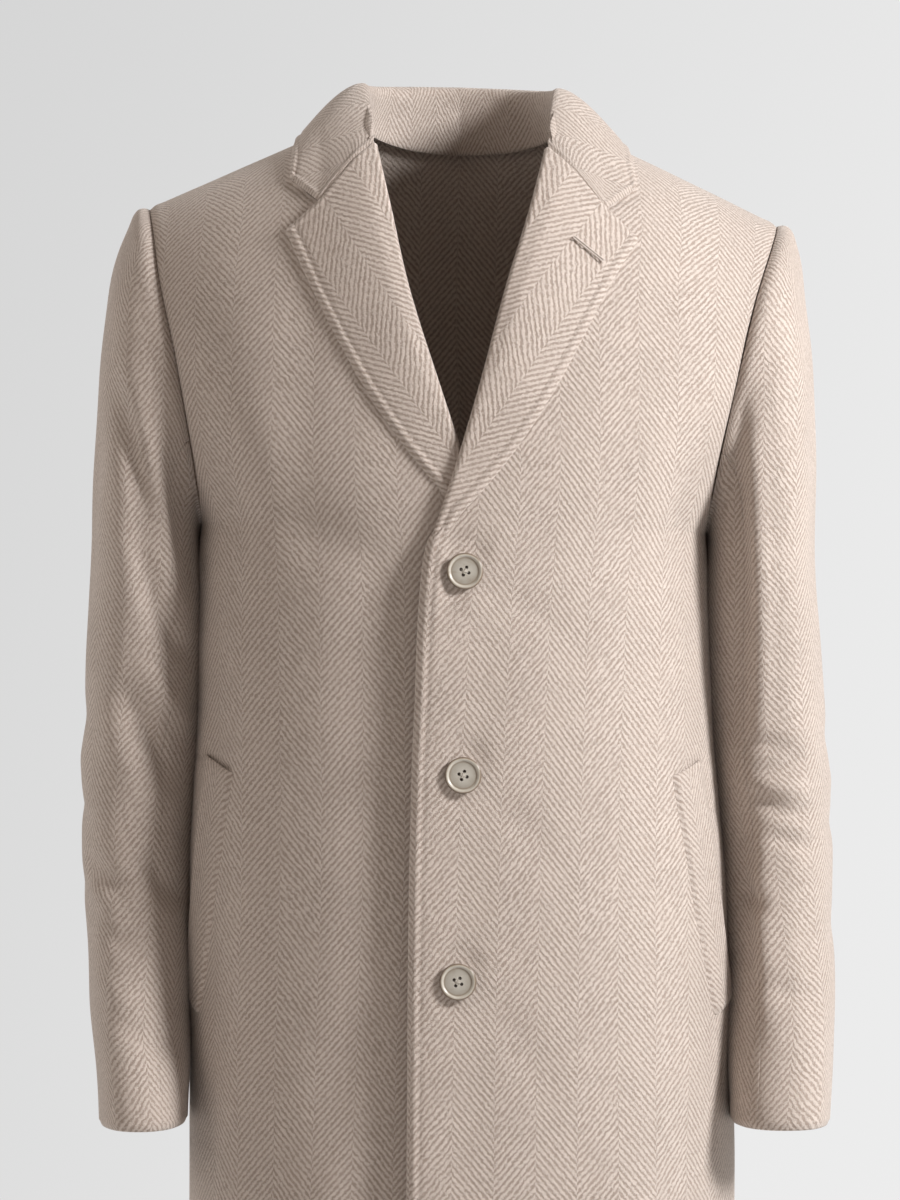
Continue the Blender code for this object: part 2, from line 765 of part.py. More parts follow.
def main():
    for item in list(bpy.data.objects):
        bpy.data.objects.remove(item, do_unlink=True)
    coat = bpy.data.objects.new("coat", None)
    bpy.context.collection.objects.link(coat)
    wool = finish("herringbone_wool", (0.47, 0.39, 0.33), 0.9)
    horn = finish("button_horn", (0.33, 0.29, 0.23), 0.35)

    back = back_panel()
    for side in ("left", "right"):
        mirrored = side == "right"
        cloth_wall(f"front_{side}", front_panel(side), wool, coat, mirrored)
        cloth_wall(f"back_{side}", [row[::-1] for row in back], wool, coat, mirrored)
        top_sleeve = sleeve_piece(side, HIND_SEAM - 360, FOREARM_SEAM)
        under_sleeve = sleeve_piece(side, FOREARM_SEAM, HIND_SEAM)
        cloth_wall(f"sleeve_top_{side}", top_sleeve, wool, coat, mirrored)
        cloth_wall(f"sleeve_under_{side}", under_sleeve, wool, coat, mirrored)
        cloth_wall(f"lapel_{side}", lapel(side), wool, coat, mirrored)
        cloth_wall(f"welt_{side}", welt(side), wool, coat, mirrored)
    cloth_wall("collar", collar(), wool, coat)
    for number, place in enumerate(BUTTONS, 1):
        add_button(f"button_{number}", place, horn, coat)


main()
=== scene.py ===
from collections import namedtuple
from math import cos, pi, radians, sin, tan

import bpy
import numpy as np
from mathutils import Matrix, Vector


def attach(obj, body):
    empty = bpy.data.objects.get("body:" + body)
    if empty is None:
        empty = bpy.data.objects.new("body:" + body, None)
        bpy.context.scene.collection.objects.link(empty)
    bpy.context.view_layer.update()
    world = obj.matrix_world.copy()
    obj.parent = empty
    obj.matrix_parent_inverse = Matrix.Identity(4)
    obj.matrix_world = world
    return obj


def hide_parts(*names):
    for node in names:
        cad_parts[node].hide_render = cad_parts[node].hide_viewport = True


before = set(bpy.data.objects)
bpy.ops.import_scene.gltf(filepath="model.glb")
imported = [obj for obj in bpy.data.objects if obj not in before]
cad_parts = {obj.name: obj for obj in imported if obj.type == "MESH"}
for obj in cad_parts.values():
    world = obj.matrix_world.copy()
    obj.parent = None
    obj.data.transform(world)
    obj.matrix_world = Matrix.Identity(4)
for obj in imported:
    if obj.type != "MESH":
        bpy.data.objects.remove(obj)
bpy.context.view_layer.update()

# The coat is worked out for its own left side, +X, and mirrored for the right. It faces -Y. All in metres.


def mix(a, b, t):
    return a + (b - a) * t


def smoothStep(low, high, value):
    # 0 at low and 1 at high, which may be the lower number
    t = np.clip((value - low) / (high - low), 0, 1)
    return t * t * (3 - 2 * t)


def bump(value, width):
    return np.exp(-(value / width) ** 2)


def unit(vectors):
    return vectors / np.maximum(np.linalg.norm(vectors, axis=-1, keepdims=True), 1e-12)


def stack(x, y, z):
    return np.stack(np.broadcast_arrays(x, y, z), axis=-1).astype(float)


def bezier(a, b, c, d, t):
    return a * (1 - t) ** 3 + b * (3 * t * (1 - t) ** 2) + c * (3 * t * t * (1 - t)) + d * t**3


def read(table, name, z):
    # a column of a table at height z, on one smooth curve that never overshoots
    order = np.argsort(table["z"])
    heights, values = np.array(table["z"])[order], np.array(table[name])[order]
    rise = np.diff(values) / np.diff(heights)
    slope = np.zeros(len(values))
    product = rise[:-1] * rise[1:]
    total = rise[:-1] + rise[1:]
    slope[1:-1] = np.where(product > 0, 2 * product / np.where(total == 0, 1, total), 0)
    z = np.clip(np.asarray(z, float), heights[0], heights[-1])
    i = np.clip(np.searchsorted(heights, z, side="right") - 1, 0, len(heights) - 2)
    span = heights[i + 1] - heights[i]
    t = (z - heights[i]) / span
    return (
        values[i] * (1 + 2 * t) * (1 - t) ** 2
        + values[i + 1] * t * t * (3 - 2 * t)
        + span * (slope[i] * t * (1 - t) ** 2 - slope[i + 1] * t * t * (1 - t))
    )


def lengths(points):
    # length gone along the last line of points
    steps = np.linalg.norm(np.diff(points, axis=-2), axis=-1)
    return np.concatenate([np.zeros(steps.shape[:-1] + (1,)), np.cumsum(steps, axis=-1)], axis=-1)


def lengthsUp(grid):
    return lengths(grid.swapaxes(0, 1)).T


def atLengths(points, wanted):
    # points at the wanted lengths along one line
    gone = lengths(points)
    return np.stack([np.interp(wanted, gone, points[:, k]) for k in range(points.shape[1])], axis=-1)


def spacing(total, step, startDense=(), endDense=()):
    # distances along a line: fine near the ends, then even steps
    start = np.array(startDense or (0.0,))
    end = total - np.array(endDense or (0.0,))[::-1]
    count = max(1, round((end[0] - start[-1]) / step))
    return np.concatenate([start, np.linspace(start[-1], end[0], count + 1)[1:-1], end])


fineEdge = (0.0, 0.0009, 0.0021, 0.0036, 0.0050, 0.0062, 0.0074, 0.0087, 0.0104, 0.0128, 0.0160)
seamEdge = (0.0, 0.0012, 0.0026, 0.0044, 0.0070)
hemEdge = (0.0, 0.0009, 0.0022, 0.0040)

cloth = dict(wall=0.0024, seamGap=0.0003, layerGap=0.0006, edgeWall=0.0042, step=0.0046,
             panelWidth=0.285, upperRows=96)

body = dict(
    seamLine=0.010, squareness=2.15, neckX=0.075, tipX=0.227, slope=tan(radians(24.6)),
    underarmZ=-0.295, hemZ=-0.930, arcFront=2.3, arcBack=2.8, neckDrop=0.010,
    armholeFront=0.070, armholeBack=0.078, armholeSag=0.14, armholeLean=1.35,
)
body["tipZ"] = -body["slope"] * (body["tipX"] - body["neckX"])
sections = dict(          # depths from the seam line
    z=[-0.930, -0.800, -0.700, -0.630, -0.530, -0.440, -0.360, -0.295],
    halfWidth=[0.2000, 0.1950, 0.1930, 0.1930, 0.1905, 0.1842, 0.1822, 0.1815],
    front=[0.176, 0.171, 0.168, 0.1655, 0.1615, 0.1575, 0.1538, 0.151],
    back=[0.142, 0.136, 0.130, 0.124, 0.112, 0.103, 0.105, 0.114],
)


def ridgeHeight(x):
    return -body["slope"] * (np.abs(x) - body["neckX"])


def armholeX(z):
    t = np.clip((z - body["underarmZ"]) / (body["tipZ"] - body["underarmZ"]), 0, 1)
    return mix(sections["halfWidth"][-1], body["tipX"], t ** body["armholeLean"])


def armholeReach(z, face):
    middle, half = (body["tipZ"] + body["underarmZ"]) / 2, (body["tipZ"] - body["underarmZ"]) / 2
    c = np.clip((z - middle) / half, -1, 1)
    widest = body["armholeFront"] if face == "front" else body["armholeBack"]
    return widest * np.sqrt(1 - c * c) * (1 - body["armholeSag"] * c)


def arcPower(x, face):
    middle = body["arcFront"] if face == "front" else body["arcBack"]
    return mix(middle, 2.0, np.minimum(1, np.abs(x) / body["tipX"]) ** 2)


def arcShare(x, z, face):
    power = arcPower(x, face)
    climb = np.clip((z - body["underarmZ"]) / (ridgeHeight(x) - body["underarmZ"]), 0, 1)
    return (1 - climb**power) ** (1 / power)


def halfWidth(z, face):
    z = np.asarray(z, float)
    n = body["squareness"]
    high = np.clip(z, body["underarmZ"] + 1e-6, body["tipZ"] - 0.002)
    x = armholeX(high)
    share = armholeReach(high, face) / arcShare(x, high, face) / read(sections, face, high)
    upper = x / (1 - np.clip(share, 0, 0.9999) ** n) ** (1 / n)
    return np.where(z <= body["underarmZ"], read(sections, "halfWidth", z), upper)


def bodyReach(x, z, face):
    n = body["squareness"]
    side = np.maximum(0, 1 - np.minimum(1, np.abs(x) / halfWidth(z, face)) ** n) ** (1 / n)
    return read(sections, face, z) * side * arcShare(x, z, face)


def bodyLevel(x, y, z, face):
    n = body["squareness"]
    reach = np.abs(y - body["seamLine"]) / read(sections, face, z)
    across = np.abs(x) / halfWidth(z, face)
    power = arcPower(x, face)
    climb = np.maximum(0, (z - body["underarmZ"]) / (ridgeHeight(x) - body["underarmZ"]))
    side = np.maximum(0, 1 - across**n) ** (power / n)
    upper = reach**power - (1 - climb**power) * side
    return np.where(z <= body["underarmZ"], across**n + reach**n - 1, upper)


def bodyNormal(points, face):
    x, y, z = points[..., 0], points[..., 1], points[..., 2]
    h = 0.0004
    return unit(stack(
        bodyLevel(x + h, y, z, face) - bodyLevel(x - h, y, z, face),
        bodyLevel(x, y + h, z, face) - bodyLevel(x, y - h, z, face),
        bodyLevel(x, y, z + h, face) - bodyLevel(x, y, z - h, face),
    ))


def onBody(x, z, face, lift=0.0):
    reach = bodyReach(x, z, face)
    points = stack(x, body["seamLine"] + (-reach if face == "front" else reach), z)
    return points + bodyNormal(points, face) * np.asarray(lift)[..., None]


def heightOver(x, y, face):
    low = np.full(np.shape(x), body["underarmZ"])
    high = ridgeHeight(x)
    for _ in range(26):
        middle = (low + high) / 2
        inside = bodyLevel(x, y, middle, face) < 0
        low, high = np.where(inside, middle, low), np.where(inside, high, middle)
    return low


def turnOf(x, width):
    share = np.minimum(1, np.abs(x) / width) ** (body["squareness"] / 2)
    return np.arcsin(share) * np.sign(x)


def xAtTurn(angle, width):
    return width * np.abs(np.sin(angle)) ** (2 / body["squareness"]) * np.sign(angle)


# the left shoulder is carried lower, and the coat leans a little at its sides
stance = dict(
    z=[-0.930, -0.740, -0.630, -0.530, -0.420, -0.320, -0.200, -0.130, -0.070, 0.040],
    centre=[0.0, 0.0, 0.0, 0.0, 0.0, 0.0, -0.0020, -0.0040, -0.0025, -0.0010],
    side=[0.0, 0.0, -0.0012, -0.0036, -0.0050, -0.0062, -0.0040, -0.0030, 0.0010, -0.0010],
    width=0.150, shoulderDrop=0.0268,
)


def pose(points):
    x, y, z = points[..., 0], points[..., 1], points[..., 2]
    weight = smoothStep(0, stance["width"], np.abs(x))
    shift = mix(read(stance, "centre", z), read(stance, "side", z), weight)
    drop = stance["shoulderDrop"] * smoothStep(-0.66, -0.12, z)
    return stack(x + shift, y, z - drop * x)


# the length of the weave across and up is read from a table on the body
weaveMap = dict(
    stepX=0.002, stepZ=0.0025, turns=np.linspace(0, pi / 2, 241),
    sideShare=0.25, sideFrom=0.74, sideTo=0.90,      # from 0.90 of the half width on, lengths are true
)


weaveMap["x"] = np.arange(0, 0.262, weaveMap["stepX"])
weaveMap["z"] = np.arange(-0.932, 0.003, weaveMap["stepZ"])


def weaveTable(face):
    n = body["squareness"]
    turn, level = np.meshgrid(weaveMap["turns"], weaveMap["z"])
    width = halfWidth(level, face)
    out = xAtTurn(turn, width)
    deep = read(sections, face, level) * np.maximum(0, 1 - (out / width) ** n) ** (1 / n)
    stepOut, stepDeep = np.diff(out, axis=1), np.diff(deep, axis=1)
    eased = np.sqrt(stepOut**2 + weaveMap["sideShare"] * np.minimum(9 * stepOut**2, stepDeep**2))
    share = (out / width)[:, 1:]
    nearSide = smoothStep(weaveMap["sideFrom"], weaveMap["sideTo"], share)
    steps = mix(eased, np.hypot(stepOut, stepDeep), nearSide)
    across = np.concatenate([np.zeros((len(level), 1)), np.cumsum(steps, axis=1)], axis=1)
    low = np.minimum(weaveMap["z"], body["underarmZ"])
    below = lengths(np.stack([read(sections, face, low), low], axis=-1))
    # above the underarm the length goes round the curve of the shoulder
    turn, x = np.meshgrid(weaveMap["turns"], weaveMap["x"])
    bend = 2 / arcPower(x, face)
    z = mix(body["underarmZ"], ridgeHeight(x), np.sin(turn) ** bend)
    above = lengths(np.stack([read(sections, face, z) * np.cos(turn) ** bend, z], axis=-1))
    return across, below, above


def readTable(table, column, row):
    i = np.clip(column, 0, table.shape[1] - 1.001)
    j = np.clip(row, 0, table.shape[0] - 1.001)
    i0, j0 = i.astype(int), j.astype(int)
    a, b = i - i0, j - j0
    low = table[j0, i0] * (1 - a) + table[j0, i0 + 1] * a
    high = table[j0 + 1, i0] * (1 - a) + table[j0 + 1, i0 + 1] * a
    return low * (1 - b) + high * b


weaveTables = {face: weaveTable(face) for face in ("front", "back")}


weaveShift = dict(left=0.0, right=-0.0120)      # how far the weave is moved across on the fronts
weaveLean = dict(        # how far the columns lean off the plumb line, by height
    z=[-0.93, -0.70, -0.50, -0.35, -0.25, 0.0],
    front_left=[0.009, 0.007, 0.002, -0.006, -0.013, -0.010],
    front_right=[-0.013, -0.008, 0.0, 0.0, -0.004, 0.0],
    sleeve_right=[0.029, 0.029, 0.007, 0.0, 0.0, 0.0],
    sleeve_left=[0.044, 0.044, 0.018, 0.012, 0.011, 0.011],
)


def bodyWeave(points, face):
    x, z = np.abs(points[..., 0]), points[..., 2]
    across, below, above = weaveTables[face]
    turnStep, low = weaveMap["turns"][1], body["underarmZ"]
    row = (z - weaveMap["z"][0]) / weaveMap["stepZ"]
    u = readTable(across, turnOf(x, halfWidth(z, face)) / turnStep, row) * np.sign(points[..., 0])
    climb = np.clip((z - low) / (ridgeHeight(x) - low), 0, 1)
    rise = np.arcsin(climb ** (arcPower(x, face) / 2)) / turnStep
    v = np.interp(z, weaveMap["z"], below) + readTable(above, rise, x / weaveMap["stepX"])
    return np.stack([u, v], axis=-1)


def creaseHeight(creases, u, v):
    # creases are listed one row each, in millimetres: where it starts, bends and ends, its width,
    # and its height, negative for a trough
    total = np.zeros(u.shape)
    steps = np.linspace(0, 1, 25)
    for crease in np.array(creases) / 1000:
        start, bend, end, (width, height) = crease[0:2], crease[2:4], crease[4:6], crease[6:]
        path = np.array([start * (1 - t) ** 2 + bend * (2 * t * (1 - t)) + end * t * t for t in steps])
        low, high = path.min(axis=0) - 3 * width, path.max(axis=0) + 3 * width
        near = (u > low[0]) & (u < high[0]) & (v > low[1]) & (v < high[1])
        if not near.any():
            continue
        uu, vv = u[near], v[near]
        best = np.full(uu.shape, 1e9)
        along = np.zeros(uu.shape)
        for a, b, t in zip(path, path[1:], steps):
            run = b - a
            s = np.clip(((uu - a[0]) * run[0] + (vv - a[1]) * run[1]) / (run @ run), 0, 1)
            d = (uu - a[0] - s * run[0]) ** 2 + (vv - a[1] - s * run[1]) ** 2
            closer = d < best
            best = np.where(closer, d, best)
            along = np.where(closer, t + s * (steps[1] - steps[0]), along)
        fade = np.sin(pi * np.clip(along, 0, 1)) ** 0.8
        total[near] += height * np.exp(-best / width**2) * fade
    return total


def ripple(u, v, seed):
    # the slight unevenness of soft cloth
    total = 0
    for k, (wave, turn) in enumerate(((0.125, 0.35), (0.083, 1.25), (0.061, 2.2), (0.047, 2.9))):
        phase = seed * 1.7 + k * 2.1
        total = total + np.sin((u * cos(turn) + v * sin(turn)) * 2 * pi / wave + phase) * wave
    return total * 0.0022


frontCreases = [
    # round the buttons: a dimple up and to the right of each, and a tuck below left
    (3, -312, 11, -313.5, 20, -320, 4.8, -2.2),
    (-10, -338, -4, -344, 5, -346, 4.2, -1.8),
    (2, -453, 10, -454, 18, -460, 4.6, -2),
    (-11, -479, -5, -484.5, 3, -486, 4.2, -1.3),
    (-2, -593, 6, -594.5, 14, -600.5, 4.6, -1.8),
    (-14, -620, -8, -625.5, 0, -627, 4.2, -1.6),
    # the fronts are pulled in above each one and swell below it
    (-14, -309, 2, -306, 22, -312, 8.5, -2.4),
    (-10, -346, 4, -350, 20, -347, 9, 1),
    (-12, -449, 1, -446, 18, -451, 8, -1.9),
    (-16, -590, -2, -588, 14, -592, 8, -1.9),
    (12, -318, 50, -302, 95, -272, 12, -1.6),
    (14, -338, 52, -352, 98, -390, 13, -1.4),
    (12, -478, 45, -500, 78, -545, 12, -1.4),
    (14, -455, 50, -440, 90, -425, 14, 1.2),
    (10, -618, 40, -640, 65, -700, 13, -1.3),
    (-50, -320, -85, -310, -130, -290, 14, -1.5),
    (-52, -460, -90, -470, -140, -505, 15, -1.5),
    (-55, -610, -85, -650, -100, -740, 15, -1.5),
    # from the armholes down
    (-172, -225, -160, -285, -165, -370, 15, -3),
    (176, -220, 166, -280, 170, -360, 15, -2.8),
    (-140, -205, -132, -255, -138, -330, 16, 1.8),
    (142, -200, 134, -250, 140, -320, 16, 1.6),
    # the skirt
    (-90, -700, -96, -830, -100, -960, 24, 3.4),
    (112, -690, 118, -830, 122, -960, 24, 3.6),
    (-150, -660, -156, -800, -160, -960, 22, -3.4),
    (160, -680, 168, -820, 172, -960, 22, -3.4),
    (58, -730, 62, -850, 64, -960, 20, -2.4),
    # where the lapel's edge runs out above the top button
    (-15, -305, -16.5, -335, -20.5, -385, 4.8, 1.2),
    (-8, -302, -10, -330, -9.5, -365, 4.5, -1),
]
backCreases = [
    (-150, -150, -120, -210, -128, -300, 18, -3.6),
    (150, -155, 122, -215, 130, -310, 18, -3.4),
    (-110, -160, -90, -230, -96, -330, 20, 2.6),
    (112, -170, 88, -235, 94, -325, 20, 2.4),
    (-120, -480, -40, -455, 60, -470, 17, -2.6),
    (130, -440, 70, -470, 0, -500, 16, -2),
    (-90, -425, -20, -410, 70, -430, 18, 1.8),
    (-80, -600, -86, -780, -92, -960, 26, 4.2),
    (90, -610, 98, -780, 106, -960, 26, 4),
    (-135, -620, -142, -790, -150, -960, 24, -3.8),
    (40, -640, 44, -800, 48, -960, 22, -3),
    (148, -640, 156, -800, 164, -960, 22, -3.6),
]


def bodyCreases(points, face, side):
    u = bodyWeave(points, face)[..., 0] * (-1 if side == "right" else 1)
    z = points[..., 2]
    creases = frontCreases if face == "front" else backCreases
    calm = 1 - smoothStep(-0.16, -0.03, z)
    wave = ripple(u, z, 1.0 if face == "front" else 2.0) * (0.35 + 0.65 * calm)
    closing = 1 - 0.7 * bump(np.abs(u), 0.045) * (face == "front")
    return creaseHeight(creases, u, z) + wave * closing + sideFullness(points[..., 0], z, face)


def sideFullness(x, z, face):
    # the side of the coat is full enough to lie against the sleeve
    nearSide = smoothStep(0.90, 1.0, np.abs(x) / halfWidth(z, face))
    return 0.0030 * nearSide * smoothStep(-0.90, -0.72, z) * smoothStep(-0.285, -0.325, z)


Sides = namedtuple("Sides", "bottom top first last")     # "free", "seam", "pressed", "closed" or "hidden"
edgeForm = dict(
    seams=dict(seam=1.0, pressed=0.30, closed=0.06),      # how deep each kind of seam lies
    seamDepth=0.0011, seamWidth=0.0026, seamSwell=0.0004, swellAt=0.0068, swellWidth=0.0028,
    roundDepth=0.34, roundWidth=0.0026, stitchAt=0.0066, stitchDepth=0.00055, stitchWidth=0.0013,
    edgeSwell=0.00035, seamBulge=0.22,
)


def edgeShape(points, thickness, sides, stitched):
    # how far each point moves along its normal because of the seams and turned edges near it
    fromFirst = lengths(points)
    fromBottom = lengthsUp(points)
    gaps = dict(
        first=fromFirst, last=fromFirst[:, -1:] - fromFirst,
        bottom=fromBottom, top=fromBottom[-1:] - fromBottom,
    )
    total = np.zeros(points.shape[:2])
    for name, gap in gaps.items():
        kind = getattr(sides, name)
        if kind in edgeForm["seams"]:
            much = edgeForm["seams"][kind]
            total -= edgeForm["seamDepth"] * much * bump(gap, edgeForm["seamWidth"])
            total += edgeForm["seamSwell"] * much * bump(gap - edgeForm["swellAt"], edgeForm["swellWidth"])
        if kind == "free":
            total -= thickness * edgeForm["roundDepth"] * (1 - smoothStep(0, edgeForm["roundWidth"], gap))
        if name in stitched:
            total -= edgeForm["stitchDepth"] * bump(gap - edgeForm["stitchAt"], edgeForm["stitchWidth"])
            total += edgeForm["edgeSwell"] * bump(gap - edgeForm["stitchAt"] * 0.45, 0.0020)
    return total


def loopOf(rows, columns):
    # grid places round the edge, with the step that leads out of the grid at each
    loop = [(0, j, "bottom") for j in range(columns - 1)]
    loop += [(i, columns - 1, "last") for i in range(rows - 1)]
    loop += [(rows - 1, j, "top") for j in range(columns - 1, 0, -1)]
    loop += [(i, 0, "first") for i in range(rows - 1, 0, -1)]
    return loop


def outward(grid):
    # the last step towards each edge of a grid
    return dict(
        bottom=grid[0] - grid[1], top=grid[-1] - grid[-2],
        first=grid[:, 0] - grid[:, 1], last=grid[:, -1] - grid[:, -2],
    )


def shell(name, outer, normals, weave, thickness, sides, mirrored=False):
    # a closed thin wall: outer face, inner face one thickness behind it, and rounded edges
    rows, columns = outer.shape[:2]
    thickness = np.broadcast_to(thickness, (rows, columns))
    inner = outer - normals * thickness[..., None]
    loop = loopOf(rows, columns)
    out, weaveOut = outward(outer), outward(weave)
    rimAngles = [pi / 4, pi / 2, 3 * pi / 4]
    rims, rimWeaves = [[] for _ in rimAngles], [[] for _ in rimAngles]
    for i, j, edge in loop:
        k = j if edge in ("bottom", "top") else i
        normal, thick = normals[i, j], thickness[i, j]
        away = out[edge][k]
        away = unit(away - normal * (away @ normal))
        weaveAway = unit(weaveOut[edge][k])
        bulge = 1.0 if getattr(sides, edge) == "free" else edgeForm["seamBulge"]
        for m, angle in enumerate(rimAngles):
            centre = outer[i, j] - normal * thick / 2
            rims[m].append(centre + (normal * cos(angle) + away * bulge * sin(angle)) * thick / 2)
            rimWeaves[m].append(weave[i, j] + weaveAway * bulge * thick * 0.5 * angle)
    flip = np.array([-1.0, 1, 1]) if mirrored else np.array([1.0, 1, 1])
    count = rows * columns
    points = np.concatenate([outer.reshape(-1, 3), inner.reshape(-1, 3)] + [np.array(r) for r in rims])
    points = pose(points * flip)
    weaves = np.concatenate(
        [weave.reshape(-1, 2), weave.reshape(-1, 2)] + [np.array(r) for r in rimWeaves]
    )
    grid = np.arange(count).reshape(rows, columns)
    a, b, c, d = grid[:-1, :-1], grid[:-1, 1:], grid[1:, 1:], grid[1:, :-1]
    faces = [np.stack([a, b, c, d], axis=-1).reshape(-1, 4)]
    faces.append(np.stack([d, c, b, a], axis=-1).reshape(-1, 4) + count)
    around = np.array([i * columns + j for i, j, _ in loop])
    rings = [around] + [2 * count + m * len(loop) + np.arange(len(loop)) for m in range(len(rimAngles))]
    rings.append(around + count)
    for near, far in zip(rings, rings[1:]):
        faces.append(np.stack([near, far, np.roll(far, -1), np.roll(near, -1)], axis=-1))
    faces = np.concatenate(faces)
    if mirrored:
        faces = faces[:, ::-1]
    return pieceOf(name, clothMesh(name, points, faces, weaves), coatingMaterial)


def clothMesh(name, points, faces, weaves):
    mesh = bpy.data.meshes.new(name)
    mesh.vertices.add(len(points))
    mesh.vertices.foreach_set("co", np.asarray(points, np.float32).ravel())
    mesh.loops.add(faces.size)
    mesh.loops.foreach_set("vertex_index", faces.astype(np.int32).ravel())
    mesh.polygons.add(len(faces))
    mesh.polygons.foreach_set("loop_start", np.arange(0, faces.size, faces.shape[1], dtype=np.int32))
    mesh.update(calc_edges=True)
    layer = mesh.uv_layers.new(name="cloth")
    layer.data.foreach_set("uv", np.asarray(weaves[faces.ravel()], np.float32).ravel())
    mesh.shade_smooth()
    return mesh


def pieceOf(name, mesh, material):
    piece = bpy.data.objects.new(name, mesh)
    bpy.context.collection.objects.link(piece)
    mesh.materials.append(material)
    return piece


def gridNormals(points):
    across = np.gradient(points, axis=1)
    up = np.gradient(points, axis=0)
    return unit(np.cross(across, up))


class Wire:
    # a socket that can be used in an expression
    def __init__(self, nodes, socket):
        self.nodes, self.socket = nodes, socket

    def maths(self, operation, *values):
        return self.nodes.add("ShaderNodeMath", dict(operation=operation), list(values))

    def __rsub__(self, other):
        return self.maths("SUBTRACT", other, self)

    def __abs__(self):
        return self.maths("ABSOLUTE", self)


def operator(operation):
    return lambda self, other: self.maths(operation, self, other)


Wire.__add__ = Wire.__radd__ = operator("ADD")
Wire.__mul__ = Wire.__rmul__ = operator("MULTIPLY")
Wire.__sub__, Wire.__truediv__ = operator("SUBTRACT"), operator("DIVIDE")
Wire.__mod__, Wire.__gt__ = operator("FLOORED_MODULO"), operator("GREATER_THAN")


class Finish:
    # one material: add() makes any node, wires() its expressions
    def __init__(self, name, world=None):
        if world:
            self.tree = world.node_tree
            return
        self.material = bpy.data.materials.new(name)
        self.material.use_nodes = True
        self.tree = self.material.node_tree
        self.tree.nodes.clear()
        self.shader = self.tree.nodes.new("ShaderNodeBsdfPrincipled")
        output = self.tree.nodes.new("ShaderNodeOutputMaterial")
        self.tree.links.new(self.shader.outputs[0], output.inputs[0])

    def add(self, kind, settings=None, values=(), output=0):
        node = self.tree.nodes.new(kind)
        for key, value in (settings or {}).items():
            if key == "stops":
                ramp = node.color_ramp
                while len(ramp.elements) < len(value):
                    ramp.elements.new(0.5)
                for element, (place, colour) in zip(ramp.elements, value):
                    element.position, element.color = place, (*colour, 1)
            else:
                setattr(node, key, value)
        pairs = values.items() if isinstance(values, dict) else enumerate(values)
        for key, value in pairs:
            self.feed(node.inputs[key], value)
        return Wire(self, node.outputs[output])

    def feed(self, socket, value):
        if isinstance(value, Wire):
            self.tree.links.new(value.socket, socket)
        else:
            socket.default_value = value

    def noise(self, place, scale, detail=2.0, roughness=0.5):
        return self.add("ShaderNodeTexNoise", None, dict(
            Vector=place, Scale=scale, Detail=detail, Roughness=roughness,
        ))

    def blend(self, mask, first, second):
        return self.add("ShaderNodeMix", dict(data_type="RGBA"), {0: mask, 6: first, 7: second}, output=2)

    def ramp(self, value, low, high):
        return self.add("ShaderNodeMapRange", dict(interpolation_type="SMOOTHSTEP"), {
            "Value": value, "From Min": low, "From Max": high,
        })

    def join(self, x, y, z=0.0):
        return self.add("ShaderNodeCombineXYZ", None, [x, y, z])


coating = dict(
    light=(0.574, 0.492, 0.437, 1), dark=(0.318, 0.252, 0.209, 1), fuzz=(0.66, 0.590, 0.540, 1),
    column=0.0288, pitch=0.0035, angle=40,      # the twill leans 40 degrees off the column
    wobble=0.44, fibre=1.60, mottle=0.10,
    twillHeight=0.00034, fuzzHeight=0.00085,
    roughness=0.93, sheen=0.35, sheenRoughness=0.45,
)


